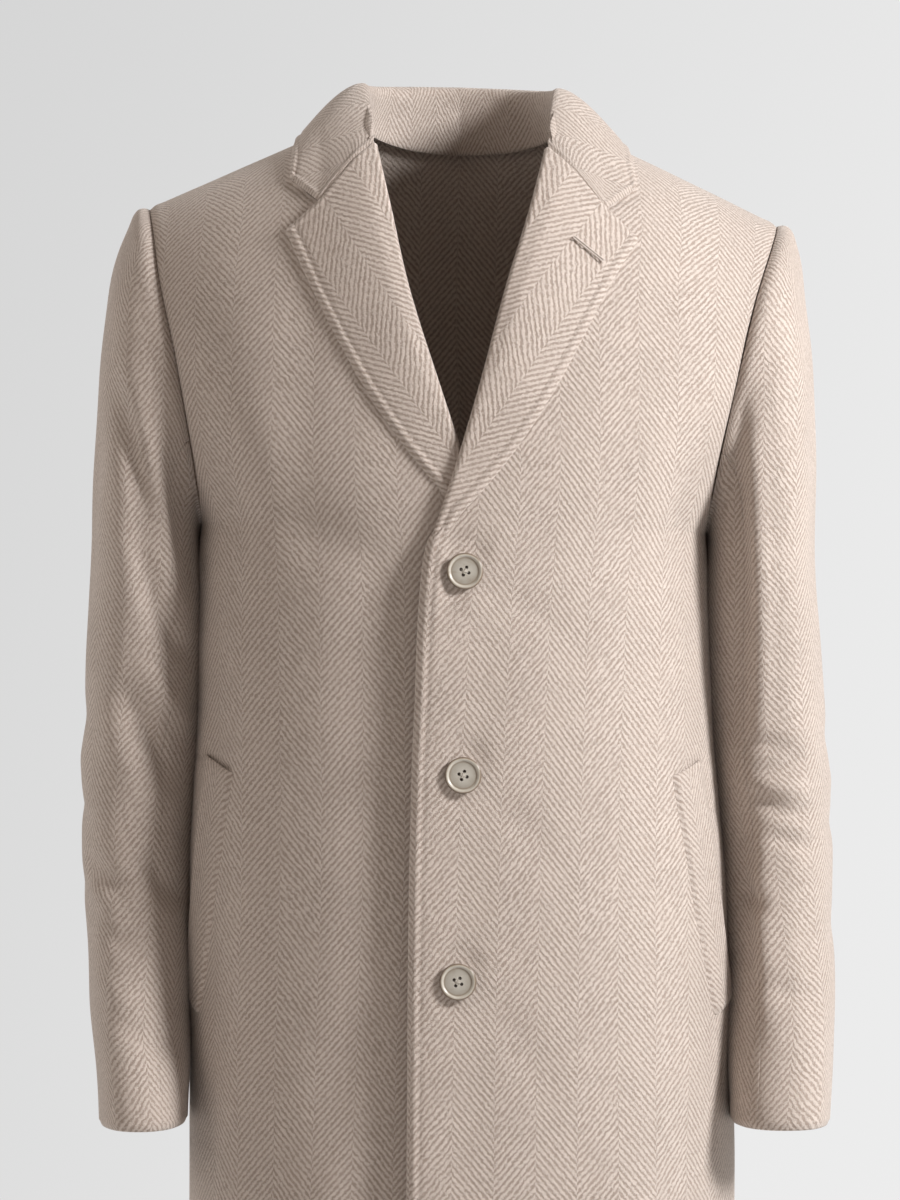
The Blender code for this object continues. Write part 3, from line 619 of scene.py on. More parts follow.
def coatingFinish():
    look = coating
    m = Finish("herringboneCoating")
    uv = m.add("ShaderNodeUVMap", dict(uv_map="cloth"))
    split = m.tree.nodes.new("ShaderNodeSeparateXYZ")
    m.feed(split.inputs[0], uv)
    u, v = Wire(m, split.outputs[0]), Wire(m, split.outputs[1])
    cloth3 = m.join(u, v)
    # yarns wander a little, and the nap is brushed over them
    sway = m.noise(cloth3, 85.0, 2.0) - 0.5
    shake = m.noise(cloth3, 420.0, 1.0) - 0.5
    width = look["column"]
    swayed = u + sway * 0.0016
    place = swayed % (2 * width)
    rise = abs(place - width)                        # 0 to a column's width and back
    turned = place > width
    c, s = cos(radians(look["angle"])), sin(radians(look["angle"]))
    across = (rise * c - v * s) / look["pitch"] + turned * 0.5
    along = rise * s + v * c
    phase = across + sway * (look["wobble"] * 1.3) + shake * look["wobble"]
    wave = m.add("ShaderNodeMath", dict(operation="SINE"), [phase * (2 * pi)]) * 0.5 + 0.5
    streak = m.noise(m.join(phase * 2.2, along * 380.0, turned * 7.3), 1.0, 3.0, 0.65)
    grain = m.noise(cloth3, 1500.0, 2.0, 0.6)
    yarn = m.ramp(wave + (streak - 0.5) * (look["fibre"] * 1.6) + (grain - 0.5) * 1.4, -0.10, 0.98)
    # the brushed nap hides the weave in places
    nap = m.ramp(m.noise(cloth3, 38.0, 3.0, 0.6), 0.30, 0.78)
    yarn = yarn * (0.97 - nap * 0.30) + (nap * 0.14 + 0.02)
    patches = m.noise(cloth3, 17.0, 4.0, 0.6)
    colour = m.blend(yarn, look["dark"], look["light"])
    mottled = m.add("ShaderNodeHueSaturation", None, {
        "Value": patches * (look["mottle"] * 2) + (1 - look["mottle"]), "Color": colour,
        "Saturation": 1.0,
    })
    fleck = m.ramp(m.noise(cloth3, 900.0, 3.0, 0.7), 0.60, 0.72)
    m.feed(m.shader.inputs["Base Color"], m.blend(fleck * 0.42, mottled, look["fuzz"]))
    m.feed(m.shader.inputs["Roughness"], 0.97 - yarn * (0.97 - look["roughness"]))
    height = yarn * look["twillHeight"] + (grain + streak) * (look["fuzzHeight"] * 0.5)
    fluff = m.add("ShaderNodeBump", None, {"Strength": 0.85, "Distance": 1.0, "Height": height})
    m.feed(m.shader.inputs["Normal"], fluff)
    m.shader.inputs["Specular IOR Level"].default_value = 0.18
    m.shader.inputs["Sheen Weight"].default_value = look["sheen"]
    m.shader.inputs["Sheen Roughness"].default_value = look["sheenRoughness"]
    m.shader.inputs["Sheen Tint"].default_value = (1.0, 0.95, 0.90, 1)
    return m.material


horn = dict(      # rings from the middle out, as shares of the radius; they paint light and shade onto the horn's colour: the dish lighter towards its middle as painted highlight and darker towards its wall, painted shade in its deepest ring at 0.74, a painted highlight on the rim's top from 0.80 to 0.88, and painted shade down the outer side from 0.945
    rings=[(0.0, (0.560, 0.525, 0.460)), (0.30, (0.430, 0.400, 0.348)), (0.66, (0.330, 0.300, 0.255)),
           (0.74, (0.230, 0.185, 0.140)), (0.80, (0.470, 0.430, 0.365)), (0.88, (0.490, 0.450, 0.385)),
           (0.945, (0.230, 0.172, 0.120)), (1.0, (0.085, 0.055, 0.034))],
    stain=(0.210, 0.155, 0.105, 1), roughness=0.34, coat=0.30,
)


def hornFinish():
    m = Finish("buttonHorn")
    place = m.add("ShaderNodeTexCoord", None, output=3)
    split = m.tree.nodes.new("ShaderNodeSeparateXYZ")
    m.feed(split.inputs[0], m.add("ShaderNodeUVMap", dict(uv_map="disc")))
    cloud = m.noise(place, 110.0, 3.0, 0.55)
    veins = m.add("ShaderNodeTexNoise", None, dict(
        Vector=place, Scale=70.0, Detail=5.0, Roughness=0.65, Distortion=1.8,
    ))
    radius = Wire(m, split.outputs[0]) + (cloud - 0.5) * 0.04
    # the horn's colour by radius, with painted highlight on the dish's middle and the rim's top, and
    # painted shade in the dish's deepest ring and down the outer side
    paintedLightRings = m.add("ShaderNodeValToRGB", dict(stops=horn["rings"]), [radius])
    mask = m.ramp(cloud * 0.5 + veins * 0.6, 0.50, 0.80) * 0.55
    m.feed(m.shader.inputs["Base Color"], m.blend(mask, paintedLightRings, horn["stain"]))
    m.feed(m.shader.inputs["Roughness"], mask * 0.10 + horn["roughness"])
    fine = m.noise(place, 900.0, 2.0)
    m.feed(m.shader.inputs["Normal"], m.add("ShaderNodeBump", None, {
        "Strength": 0.25, "Distance": 1.0, "Height": fine * 0.00006,
    }))
    m.shader.inputs["Coat Weight"].default_value = horn["coat"]
    m.shader.inputs["Coat Roughness"].default_value = 0.24
    return m.material


thread = dict(
    sewing=((0.44, 0.395, 0.335, 1), (0.60, 0.555, 0.490, 1)),
    # dark thread for the hand stitches, also used as painted shade in the lapel buttonhole's gap
    stitched=((0.16, 0.120, 0.090, 1), (0.23, 0.180, 0.140, 1)),
    worked=((0.52, 0.445, 0.392, 1), (0.63, 0.550, 0.495, 1)),
    radius=0.00019,
)


def threadFinish(name):
    m = Finish(f"{name}Thread")
    place = m.add("ShaderNodeTexCoord", None, output=3)
    twist = m.add("ShaderNodeTexWave", dict(bands_direction="DIAGONAL"), dict(
        Vector=place, Scale=900.0, Distortion=1.0, Detail=1.0,
    ), output=1)
    m.feed(m.shader.inputs["Base Color"], m.blend(twist, *thread[name]))
    m.feed(m.shader.inputs["Normal"], m.add("ShaderNodeBump", None, {
        "Strength": 0.5, "Distance": 1.0, "Height": twist * 0.00008,
    }))
    m.shader.inputs["Roughness"].default_value = 0.8
    m.shader.inputs["Sheen Weight"].default_value = 0.2
    return m.material


coatingMaterial, hornMaterial = coatingFinish(), hornFinish()
threadMaterial, stitchAndSlitShadeMaterial, workedMaterial = (threadFinish(k) for k in ("sewing", "stitched", "worked"))
print("materials made")

front = dict(
    edgeZ=dict(z=[-0.930, -0.620, -0.467, -0.415, -0.371, -0.339, -0.323, -0.307, -0.300],
               x=[-0.0370, -0.0354, -0.0325, -0.0303, -0.0287, -0.0267, -0.0253, -0.0224, -0.0205]),
    breakAt=(-0.0224, -0.307), gorge=(0.0595, -0.0245), rollBow=0.0046, rollSetback=0.0050,
    underlap=0.0062, underlapNear=0.100, underlapFar=0.165,
    underlapHigh=(-0.20, -0.06),      # between these heights the right front comes level with the left
    edgeWallRange=(0.010, 0.030), edgeWallHeights=(-0.300, -0.270),
    tuck=0.0046, tuckRange=(0.036, 0.110), proud=0.0036, proudWidth=0.050, closedHeights=(-0.345, -0.285),
)

lapel = dict(
    notch=(0.0990, -0.0705), corner=(0.1225, -0.0905), belly=(0.0118, 0.0071),
    turn=0.88, turnAt=(-0.0115, -0.2965), end=(-0.0124, -0.333),
    lift=0.0062, rollRadius=0.0042, facing=0.018, notchShare=0.62, wall=0.0028, grain=35,
    grainAt=0.0228, length=0.300, step=0.0030, columns=22,
)


welt = dict(
    topX=0.152, topZ=-0.470, bottomX=0.1785, bottomZ=-0.640, width=0.038, slant=0.011, wall=0.0024,
    length=0.172, step=0.0042, weaveAt=0.0130,
    shift=dict(left=0.0, right=0.0055), mouth=dict(left=-2.0, right=-3.4),      # mouth in millimetres
)


def rollPoint(t):
    # x and z of the roll line, from the break, t 0, to the collar seam, t 1
    a, b = front["breakAt"], front["gorge"]
    return mix(a[0], b[0], t) + front["rollBow"] * 4 * t * (1 - t), mix(a[1], b[1], t)


def frontEdgeX(z):
    z = np.asarray(z, float)
    low, gorge = front["breakAt"][1], front["gorge"]
    t = np.clip((z - low) / (gorge[1] - low), 0, 1)
    roll = rollPoint(t)[0] + front["rollSetback"] * smoothStep(0, 0.06, t)
    neck = mix(gorge[0] + front["rollSetback"], body["neckX"], np.clip((z - gorge[1]) / -gorge[1], 0, 1))
    return np.where(z <= low, read(front["edgeZ"], "x", z), np.where(z <= gorge[1], roll, neck))


def backNeckZ(x):
    return -body["neckDrop"] * (1 - np.minimum(1, x / body["neckX"]) ** 3)


def frontTop(x):
    return np.minimum(0, ridgeHeight(x))


def backTop(x):
    return np.where(x < body["neckX"], backNeckZ(x), ridgeHeight(x))


def underlap(x, z):
    # how deep the right front lies under the left
    near = 1 - smoothStep(front["underlapNear"], front["underlapFar"], x)
    return front["underlap"] * near * (1 - smoothStep(*front["underlapHigh"], z)) * (z < front["gorge"][1])


def frontSurface(x, z, side, lift=0.0):
    return onBody(x, z, "front", lift - (underlap(x, np.asarray(z)) if side == "right" else 0.0))


def panelGrid(face, innerX, topZ):
    # rows from the hem up, each from the inner edge to the side seam or armhole
    hem = spacing(body["underarmZ"] - body["hemZ"], cloth["step"], hemEdge, (0.0,))
    rises = np.cos((pi - np.linspace(0, pi, cloth["upperRows"])) / 2) ** 2
    fine = np.linspace(0, 1, 201)
    topWidth = halfWidth(body["tipZ"], face)
    innerTop = turnOf(innerX(float(topZ(0.0))), topWidth)
    outerTop = turnOf(body["tipX"], topWidth)
    lines = []
    for z in body["hemZ"] + hem[:-1]:
        width = halfWidth(z, face)
        first = turnOf(innerX(z), width)
        x = xAtTurn(mix(first, pi / 2, fine), width)
        lines.append(onBody(x, np.full(x.shape, z), face))
    for rise in rises:
        zInner = mix(body["underarmZ"], float(topZ(0.0)), rise)
        zOuter = mix(body["underarmZ"], body["tipZ"], rise)
        first = turnOf(innerX(zInner), halfWidth(zInner, face))
        last = turnOf(armholeX(zOuter), halfWidth(zOuter, face))
        xTop = xAtTurn(mix(innerTop, outerTop, fine), topWidth)
        z = mix(body["underarmZ"], topZ(xTop), rise)
        x = xAtTurn(mix(first, last, fine), halfWidth(z, face))
        lines.append(onBody(x, np.minimum(z, ridgeHeight(x)), face))
    columns = round(cloth["panelWidth"] / cloth["step"])
    rows = []
    dense = fineEdge if face == "front" else seamEdge
    for line in lines:
        total = lengths(line)[-1]
        start, end = np.array(dense), total - np.array(seamEdge)[::-1]
        middle = np.linspace(start[-1], end[0], columns + 1)[1:-1]
        rows.append(atLengths(line, np.concatenate([start, middle, end])))
    points = np.array(rows)
    return onBody(points[..., 0], np.minimum(points[..., 2], ridgeHeight(points[..., 0])), face)


def bodyPanel(face, side):
    inner, top = (frontEdgeX, frontTop) if face == "front" else (lambda z: 0.0, backTop)
    points = panelGrid(face, inner, top)
    x, z = points[..., 0], points[..., 2]
    normals = bodyNormal(points, face)
    weave = bodyWeave(points, face)
    gap = cloth["seamGap"] / 2
    lift = bodyCreases(points, face, side)
    thickness = np.full(x.shape, cloth["wall"])
    if face == "front":
        weave[..., 0] += read(weaveLean, f"front_{side}", z) + weaveShift[side]
        fromEdge = lengths(points)
        below = 1 - smoothStep(*front["edgeWallHeights"], z)
        beside = 1 - smoothStep(*front["edgeWallRange"], fromEdge)
        thickness += (cloth["edgeWall"] - cloth["wall"]) * beside * below
        lift = lift + pocketMouth(points, side) + notchGap(points)
        closed = 1 - smoothStep(*front["closedHeights"], z)
        if side == "right":
            lift = lift - underlap(x, z)
            lift = lift - front["tuck"] * closed * (1 - smoothStep(*front["tuckRange"], np.abs(x)))
        else:
            lift = lift + front["proud"] * closed * (1 - smoothStep(0.0, front["proudWidth"], fromEdge))
        sides = Sides("free", "seam", "free", "seam")
        lift = lift + edgeShape(points, thickness, sides, ("first",))
        points = points + normals * lift[..., None] + np.array([0, -gap, 0])
        if side == "left":
            low = points[:, 0, 2] < lapel["end"][1] - 0.006
            keepStitchLine(points[low], normals[low], False)
    else:
        sides = Sides("free", "seam", "seam", "seam")
        lift = lift + edgeShape(points, thickness, sides, ())
        points = points + normals * lift[..., None] + np.array([gap, gap, 0])
    if face == "back":
        points, normals, weave = points[:, ::-1], normals[:, ::-1], weave[:, ::-1]
        sides = Sides(sides.bottom, sides.top, sides.last, sides.first)
    return shell(f"cloth_{face}_{side}", points, normals, weave, thickness, sides, side == "right")


def notchGap(points):
    # the front lies a little lower in the open notch, under the collar's end
    return creaseHeight([(93, -67.5, 106, -64, 129, -56, 3.4, -2.6)], points[..., 0], points[..., 2])


def pocketMouth(points, side):
    # the groove along the top end of the welt
    x, z = 1000 * (welt["topX"] + welt["shift"][side]), 1000 * welt["topZ"]
    groove = (x - 3, z + 1, x + 13, z + 6.5, x + 26, z + 12.5, 3.0, welt["mouth"][side])
    return creaseHeight([groove], points[..., 0], points[..., 2])


stitchLines = []


def keepStitchLine(points, normals, mirrored):
    # remembers, posed, where the hand stitches run beside a grid's first column
    flip = np.array([-1.0 if mirrored else 1.0, 1, 1])
    inset = edgeForm["stitchAt"]
    line = np.array([atLengths(row, np.array([inset]))[0] for row in points])
    column = int(np.argmin(np.abs(lengths(points[len(points) // 2]) - inset)))
    stitchLines.append((pose(line * flip), normals[:, column] * flip))


pieces = {}
for side in ("left", "right"):
    for face in ("front", "back"):
        pieces[f"{face}_{side}"] = bodyPanel(face, side)
print("fronts and backs made")

sleeve = dict(
    rings=dict(
        z=[-0.310, -0.420, -0.530, -0.630, -0.716], x=[0.2221, 0.2259, 0.2318, 0.2318, 0.2262],
        y=[0.012, 0.017, 0.015, -0.010, -0.044], halfX=[0.0389, 0.0420, 0.0398, 0.0356, 0.0334],
        halfY=[0.080, 0.074, 0.069, 0.063, 0.056], tilt=[0.012, 0.004, 0.0, 0.0, 0.0],
    ),
    squareness=2.25, forearmSeam=120, hindSeam=255, cuffShape=dict(left=1.06, right=0.92),
    capRows=44, capPadding=0.0020, innerFullness=0.0046, cuffWall=0.0012,
)


def armholePoint(angle):
    z = mix(body["underarmZ"], body["tipZ"], np.cos(angle / 2) ** 2)
    reach = np.where(np.sin(angle) >= 0, -armholeReach(z, "front"), armholeReach(z, "back"))
    return stack(armholeX(z), body["seamLine"] + reach, z)


def ringPoint(angle, z, side):
    x, y, halfX, halfY, tilt = (read(sleeve["rings"], k, z) for k in ("x", "y", "halfX", "halfY", "tilt"))
    turned = mix(1.0, sleeve["cuffShape"][side], smoothStep(-0.530, -0.716, z))
    power = 2 / sleeve["squareness"]
    out = np.abs(np.cos(angle)) ** power * np.sign(np.cos(angle))
    forward = np.abs(np.sin(angle)) ** power * np.sign(np.sin(angle))
    return stack(x + halfX * turned * out, y - halfY / turned * forward, z + tilt * out)


def sleevePoint(angle, t, side):
    rings = sleeve["rings"]["z"]
    lower = ringPoint(angle, mix(rings[0], rings[-1], np.clip(t - 1, 0, 1)), side)
    top = np.cos(angle / 2) ** 2
    start, end = armholePoint(angle), ringPoint(angle, np.full(np.shape(angle), rings[0]), side)
    out = unit(stack(np.ones(np.shape(angle)), -0.35 * np.sin(angle), 0.05 * np.cos(angle)))
    first = start + out * (0.004 + 0.020 * top)[..., None]
    last = end + stack(0, 0, 0.010 + 0.125 * top)
    s = np.clip(t, 0, 1)[..., None]
    return np.where(t[..., None] > 1, lower, bezier(start, first, last, end, s))


sleeveCreases = dict(      # places are x and z on the front and back, y and z on the outer side
    right=dict(            # the sleeve at the photograph's left
        front=[
            (247, -188, 230, -239, 206, -324, 8.8, -6.6),
            (226, -214, 204, -292, 191, -381, 7.2, 4.4),
            (229, -282, 214, -356, 185, -401, 8.2, -6.2),
            (200, -239, 192, -296, 191, -352, 7.5, -4.5),
            (209, -345, 199, -367, 189, -381, 5.5, 3.4),
            (243, -409, 219, -429, 199, -487, 8.6, -7.4),
            (224, -388, 206, -416, 189, -445, 7.5, 5),
            (251, -423, 231, -466, 217, -505, 10, 3.4),
            (274, -527, 248, -542, 224, -582, 8, -4.8),
            (266, -550, 244, -559, 224, -570, 7, 3),
            (254, -581, 237, -589, 217, -594, 7, -3.8),
            (224, -523, 209, -551, 196, -565, 8, -4.4),
            (246, -642, 220, -654, 193, -670, 8.5, -3.4),
            (261, -608, 246, -625, 224, -636, 9, 2.2),
        ],
        back=[
            (203, -180, 214, -250, 206, -345, 13, -6),
            (262, -412, 236, -438, 198, -424, 10, -5),
            (266, -468, 236, -484, 196, -500, 9.5, -6),
            (262, -500, 232, -512, 200, -522, 9, 3.6),
            (258, -560, 230, -582, 202, -588, 10, -4),
            (248, -640, 226, -655, 206, -650, 10, -2.4),
        ],
        outer=[
            (-40, -200, -20, -290, -30, -370, 14, -1.7),
            (70, -410, 20, -440, -40, -430, 11, -1.8),
            (60, -476, 0, -492, -56, -520, 10, -2.1),
            (40, -540, -10, -548, -50, -575, 10, -1.4),
            (60, -440, 10, -462, -30, -470, 10, 1.3),
        ],
    ),
    left=dict(             # at the photograph's right
        front=[
            (204, -195, 221, -312, 215, -460, 7, 6),
            (196, -188, 206, -312, 201, -449, 9.8, -7.2),
            (198, -194, 203, -213, 208, -232, 6, -3),
            (201, -450, 220, -441, 247, -456, 5.2, -4),
            (211, -467, 233, -461, 254, -457, 5, -3.4),
            (204, -482, 223, -495, 255, -498, 6.2, -5),
            (207, -474, 230, -480, 255, -480, 5.5, 3),
            (213, -509, 235, -518, 260, -521, 5.5, -3.6),
            (200, -551, 210, -556, 220, -573, 5.8, -4.2),
            (206, -614, 228, -625, 252, -627, 7.5, -3),
            (207, -490, 199, -553, 204, -631, 9.5, -4.8),
            (217, -504, 214, -575, 218, -660, 7.5, 4),
            (242, -539, 251, -596, 247, -660, 10, -2.6),
        ],
        back=[
            (205, -170, 216, -240, 208, -330, 13, -5.6),
            (262, -430, 234, -446, 200, -440, 9.5, -5.4),
            (264, -486, 238, -500, 198, -488, 10, -5.6),
            (260, -532, 230, -524, 202, -540, 9, 3.4),
            (256, -580, 228, -600, 204, -592, 10, -3.6),
        ],
        outer=[
            (-36, -190, -16, -270, -28, -350, 14, -1.5),
            (66, -430, 16, -448, -50, -440, 11, -1.9),
            (58, -490, 6, -512, -50, -508, 10, -1.9),
            (48, -560, 0, -572, -56, -600, 11, -1.4),
            (56, -462, 10, -478, -40, -476, 9, 1.2),
        ],
    ),
)


def sleeveFolds(points, normals, side):
    x, y, z = points[..., 0], points[..., 1], points[..., 2]
    folds = sleeveCreases[side]
    total = creaseHeight(folds["front"], x, z) * smoothStep(0.10, 0.50, -normals[..., 1])
    total = total + creaseHeight(folds["back"], x, z) * smoothStep(0.10, 0.50, normals[..., 1])
    return total + creaseHeight(folds["outer"], y, z) * smoothStep(0.45, 0.85, normals[..., 0])


def sleeveWeave(angle, t, side):
    # length round the sleeve from its outer line
    fine = np.linspace(-1.9, 4.5, 641)
    heights = np.linspace(sleeve["rings"]["z"][0], sleeve["rings"]["z"][-1], 12)
    table = np.array([lengths(ringPoint(fine, np.full(fine.shape, z), side)) for z in heights])
    table -= np.array([[np.interp(0, fine, row)] for row in table])
    column = (angle - fine[0]) / (fine[1] - fine[0])
    return readTable(table, column, np.clip(t - 1, 0, 1) * (len(heights) - 1))


def sleevePiece(name, side, firstAngle, lastAngle):
    inset = cloth["seamGap"] * 0.35 / sleeve["rings"]["halfX"][-1]
    a0, a1 = radians(firstAngle) + inset, radians(lastAngle) - inset
    fine = np.linspace(a0, a1, 401)
    around = lengths(ringPoint(fine, np.full(fine.shape, -0.400), side))
    angles = np.interp(spacing(around[-1], cloth["step"], seamEdge, seamEdge), around, fine)
    cap = (1 - np.cos(np.linspace(0, 1, sleeve["capRows"] + 1) * pi)) / 2
    cap = mix(cap, np.linspace(0, 1, sleeve["capRows"] + 1), 0.6)
    biceps, cuff = sleeve["rings"]["z"][0], sleeve["rings"]["z"][-1]
    down = spacing(biceps - cuff, cloth["step"], (0.0,), hemEdge) / (biceps - cuff)
    stages = np.concatenate([cap[:-1], 1 + down])
    angle, t = np.meshgrid(angles, stages)
    points = sleevePoint(angle, t, side)
    turn, step = 0.015, 0.008
    low, high = np.maximum(0, t - step), np.minimum(2, t + step)
    alongV = sleevePoint(angle, high, side) - sleevePoint(angle, low, side)
    acrossV = sleevePoint(angle + turn, t, side) - sleevePoint(angle - turn, t, side)
    normals = unit(np.cross(acrossV, alongV))
    u = sleeveWeave(angle, t, side)
    gone = lengthsUp(points)
    # in front and behind, the columns of the head keep on straight up into the armhole seam; on the flat
    # inner side that would smear them
    halfWay = np.linspace(0, pi, 181)
    forward = ringPoint(halfWay, np.full(halfWay.shape, biceps), side)
    straight = np.interp(points[..., 0], forward[::-1, 0], lengths(forward)[::-1])
    turned = smoothStep(0.25, 0.80, np.abs(np.sin(angle))) * smoothStep(-0.88, -0.45, np.cos(angle))
    whole = 2 * lengths(forward)[-1]          # once round the sleeve, for the under sleeve's hind side
    straight = np.where(angle > pi, whole - straight, straight * np.sign(np.sin(angle)))
    u = mix(u, straight, turned * (t < 1))
    over = (gone[sleeve["capRows"]] - gone) + biceps
    v = mix(points[..., 2], over, np.clip(np.cos(angle), 0, 1) ** 2)
    z = points[..., 2]
    weave = np.stack([u + read(weaveLean, f"sleeve_{side}", z), v], axis=-1)
    lift = sleeveFolds(points, normals, side)
    lift = lift + ripple(u, z, 3.0 if side == "left" else 4.0) * smoothStep(0, 0.5, t) * 1.2
    lift = lift * smoothStep(0.0, 0.30, t)
    inner = bump(angle - pi, 0.55) * smoothStep(-0.72, -0.64, z) * smoothStep(-0.290, -0.350, z)
    lift = lift + sleeve["innerFullness"] * inner
    # the head of the sleeve is padded a little above the seam
    head = bump(gone - 0.010, 0.008) * np.clip(np.cos(angle * 0.62), 0, 1) ** 2
    lift = lift + sleeve["capPadding"] * head
    isTop = name.startswith("sleeve_top")
    sides = Sides("seam", "free", *(("pressed", "closed") if isTop else ("closed", "pressed")))
    thickness = np.full(points.shape[:2], cloth["wall"])
    fromCuff = gone[-1:] - gone
    thickness += sleeve["cuffWall"] * (1 - smoothStep(0.015, 0.040, fromCuff))
    lift = lift + edgeShape(points, thickness, sides, ())
    points = points + normals * lift[..., None]
    return shell(f"cloth_{name}", points, normals, weave, thickness, sides, side == "right")


for side in ("left", "right"):
    hind, fore = sleeve["hindSeam"], sleeve["forearmSeam"]
    pieces[f"sleeve_top_{side}"] = sleevePiece(f"sleeve_top_{side}", side, hind - 360, fore)
    pieces[f"sleeve_under_{side}"] = sleevePiece(f"sleeve_under_{side}", side, fore, hind)
print("sleeves made")


def topEdge(share, corner):
    # x and z from the gorge through the notch to a corner, the lapel's or the collar's
    bend = lapel["notchShare"]
    gorge, notch = front["gorge"], lapel["notch"]
    t = np.clip(share / bend, 0, 1)
    s = np.clip((share - bend) / (1 - bend), 0, 1)
    x = np.where(share <= bend, mix(gorge[0], notch[0], t), mix(notch[0], corner[0], s))
    z = np.where(share <= bend, mix(gorge[1], notch[1], t), mix(notch[1], corner[1], s))
    return x, z


def lapelEdge(t):
    # the outer edge; past the turn it runs down beside the front edge
    turn, end = lapel["turn"], lapel["end"]
    upper = min(t, turn)
    bow = np.sin(pi * upper**1.25)
    corner, low = lapel["corner"], front["breakAt"]
    x = mix(corner[0], low[0], upper) + lapel["belly"][0] * bow
    z = mix(corner[1], low[1], upper) - lapel["belly"][1] * bow
    s = max(0.0, (t - turn) / (1 - turn))
    keep, bend, done = (1 - s) ** 2, 2 * s * (1 - s), s * s
    turnX, turnZ = lapel["turnAt"]
    return x * keep + turnX * bend + end[0] * done, z * keep + turnZ * bend + end[1] * done


def lapelRoll(t):
    # x and z of the fold: the roll line, and past the break just inside the front edge
    turn = lapel["turn"]
    if t <= turn:
        return rollPoint(1 - t)
    z = mix(rollPoint(1 - turn)[1], lapel["end"][1], (t - turn) / (1 - turn))
    low = front["breakAt"][1]
    x = rollPoint((z - low) / (front["gorge"][1] - low))[0] if z > low else float(frontEdgeX(z))
    return x + 0.0010 * smoothStep(low + 0.010, low - 0.010, z), z


def lapelPlan(share, t):
    # x and z on the lapel: share 0 on the roll line, 1 on the outer edge; t 0 at the top, 1 at its end
    rollX, rollZ = lapelRoll(t)
    edgeX, edgeZ = lapelEdge(t)
    topX, topZ = topEdge(share, lapel["corner"])
    gorge, corner = front["gorge"], lapel["corner"]
    bend = (1 - t) ** 4
    x = mix(rollX, edgeX, share) + (topX - mix(gorge[0], corner[0], share)) * bend
    z = mix(rollZ, edgeZ, share) + (topZ - mix(gorge[1], corner[1], share)) * bend
    return x, z - cloth["seamGap"] * bend


def lapelHeight(share, t):
    low = cloth["wall"] + cloth["layerGap"]
    high = mix(lapel["lift"], low, smoothStep(0.45, 0.72, t))
    height = mix(low, high, smoothStep(0.0, 0.22, share)) - (high - low) * smoothStep(0.3, 1.0, share)
    return mix(height, -0.0012, smoothStep(0.86, 0.99, t))       # it sinks into the front at its end


def lapelGrid(side):
    rows = spacing(lapel["length"], lapel["step"], (0.0, 0.0010, 0.0024, 0.0042, 0.0066)) / lapel["length"]
    fine = np.linspace(1, 0, 201)
    lines, weaves, folds, walls = [], [], [], []
    for t in rows:
        x, z = lapelPlan(fine, t)
        plan = np.stack([x, z], axis=-1)
        total = lengths(plan)[-1]
        radius = min(mix(lapel["rollRadius"], 0.0018, smoothStep(0.84, 0.96, t)), total * 0.42)
        flat = total - radius
        dense = np.array(fineEdge) * min(1.0, flat / 0.045)      # closer together where the lapel is narrow
        distances = np.concatenate([dense, np.linspace(dense[-1], flat, lapel["columns"])[1:]])
        flatPlan = atLengths(plan, distances)
        share = np.interp(distances, lengths(plan), fine)
        height = lapelHeight(share, np.full(share.shape, t))
        surface = frontSurface(flatPlan[:, 0], flatPlan[:, 1], side, height)
        normal = bodyNormal(surface, "front")
        # over the fold and back along the inside
        end, facing = surface[-1], normal[-1]
        inward = surface[-1] - surface[-2]
        inward = inward - facing * (inward @ facing)
        inward = inward / np.linalg.norm(inward)
        centre = end - facing * radius
        turn = [
            (centre + (facing * cos(a) + inward * sin(a)) * radius, facing * cos(a) + inward * sin(a))
            for a in np.linspace(0, pi, 11)[1:]
        ]
        below, belowNormal = turn[-1]
        under = [
            (below - inward * d, belowNormal)
            for d in np.linspace(0, min(lapel["facing"], total * 0.6), 6)[1:]
        ]
        extra = turn + under
        line = np.concatenate([surface, np.array([p for p, _ in extra])])
        lines.append(line)
        folds.append(np.concatenate([normal, np.array([n for _, n in extra])]))
        angle = radians(lapel["grain"])
        corner = np.array(lapel["corner"])
        offset = flatPlan - corner
        u = -(offset[:, 0] * cos(angle) - offset[:, 1] * sin(angle)) + lapel["grainAt"]
        v = offset[:, 0] * sin(angle) + offset[:, 1] * cos(angle)
        more = lengths(line)[len(flatPlan):] - lengths(line)[len(flatPlan) - 1]
        du, dv = u[-1] - u[-2], v[-1] - v[-2]
        size = max(1e-9, np.hypot(du, dv))
        weaves.append(np.stack([
            np.concatenate([u, u[-1] + du / size * more]), np.concatenate([v, v[-1] + dv / size * more]),
        ], axis=-1))
        walls.append(min(lapel["wall"], radius * 0.9))
    return np.array(lines), np.array(folds), np.array(weaves), np.array(walls)


def lapelPiece(side):
    points, normals, weave, walls = lapelGrid(side)
    lift = bodyCreases(points, "front", side)
    thickness = np.repeat(walls[:, None], points.shape[1], axis=1)
    sides = Sides("free", "hidden", "free", "hidden")
    shape = edgeShape(points, thickness, sides, ("bottom", "first"))
    # the creases of the front below carry the whole lapel, its fold too
    carried = bodyNormal(onBody(np.abs(points[..., 0]), points[..., 2], "front"), "front")
    points = points + carried * lift[..., None] + normals * shape[..., None]
    keepStitchLine(points[5:-8], normals[5:-8], side == "right")
    return shell(f"cloth_lapel_{side}", points, normals, weave, thickness, sides, side == "right")


for side in ("left", "right"):
    pieces[f"lapel_{side}"] = lapelPiece(side)
print("lapels made")

collar = dict(
    rollHalfWidth=0.067, rollBack=0.068, rollBackZ=0.036, rollSideZ=0.027,
    edgeHalfWidth=0.119, edgeBack=0.089, corner=(0.1215, -0.0520),
    standLean=0.0045, roundness=0.010, hollow=0.006, wall=0.0030, stations=96,
    standColumns=14, fallColumns=27,
)


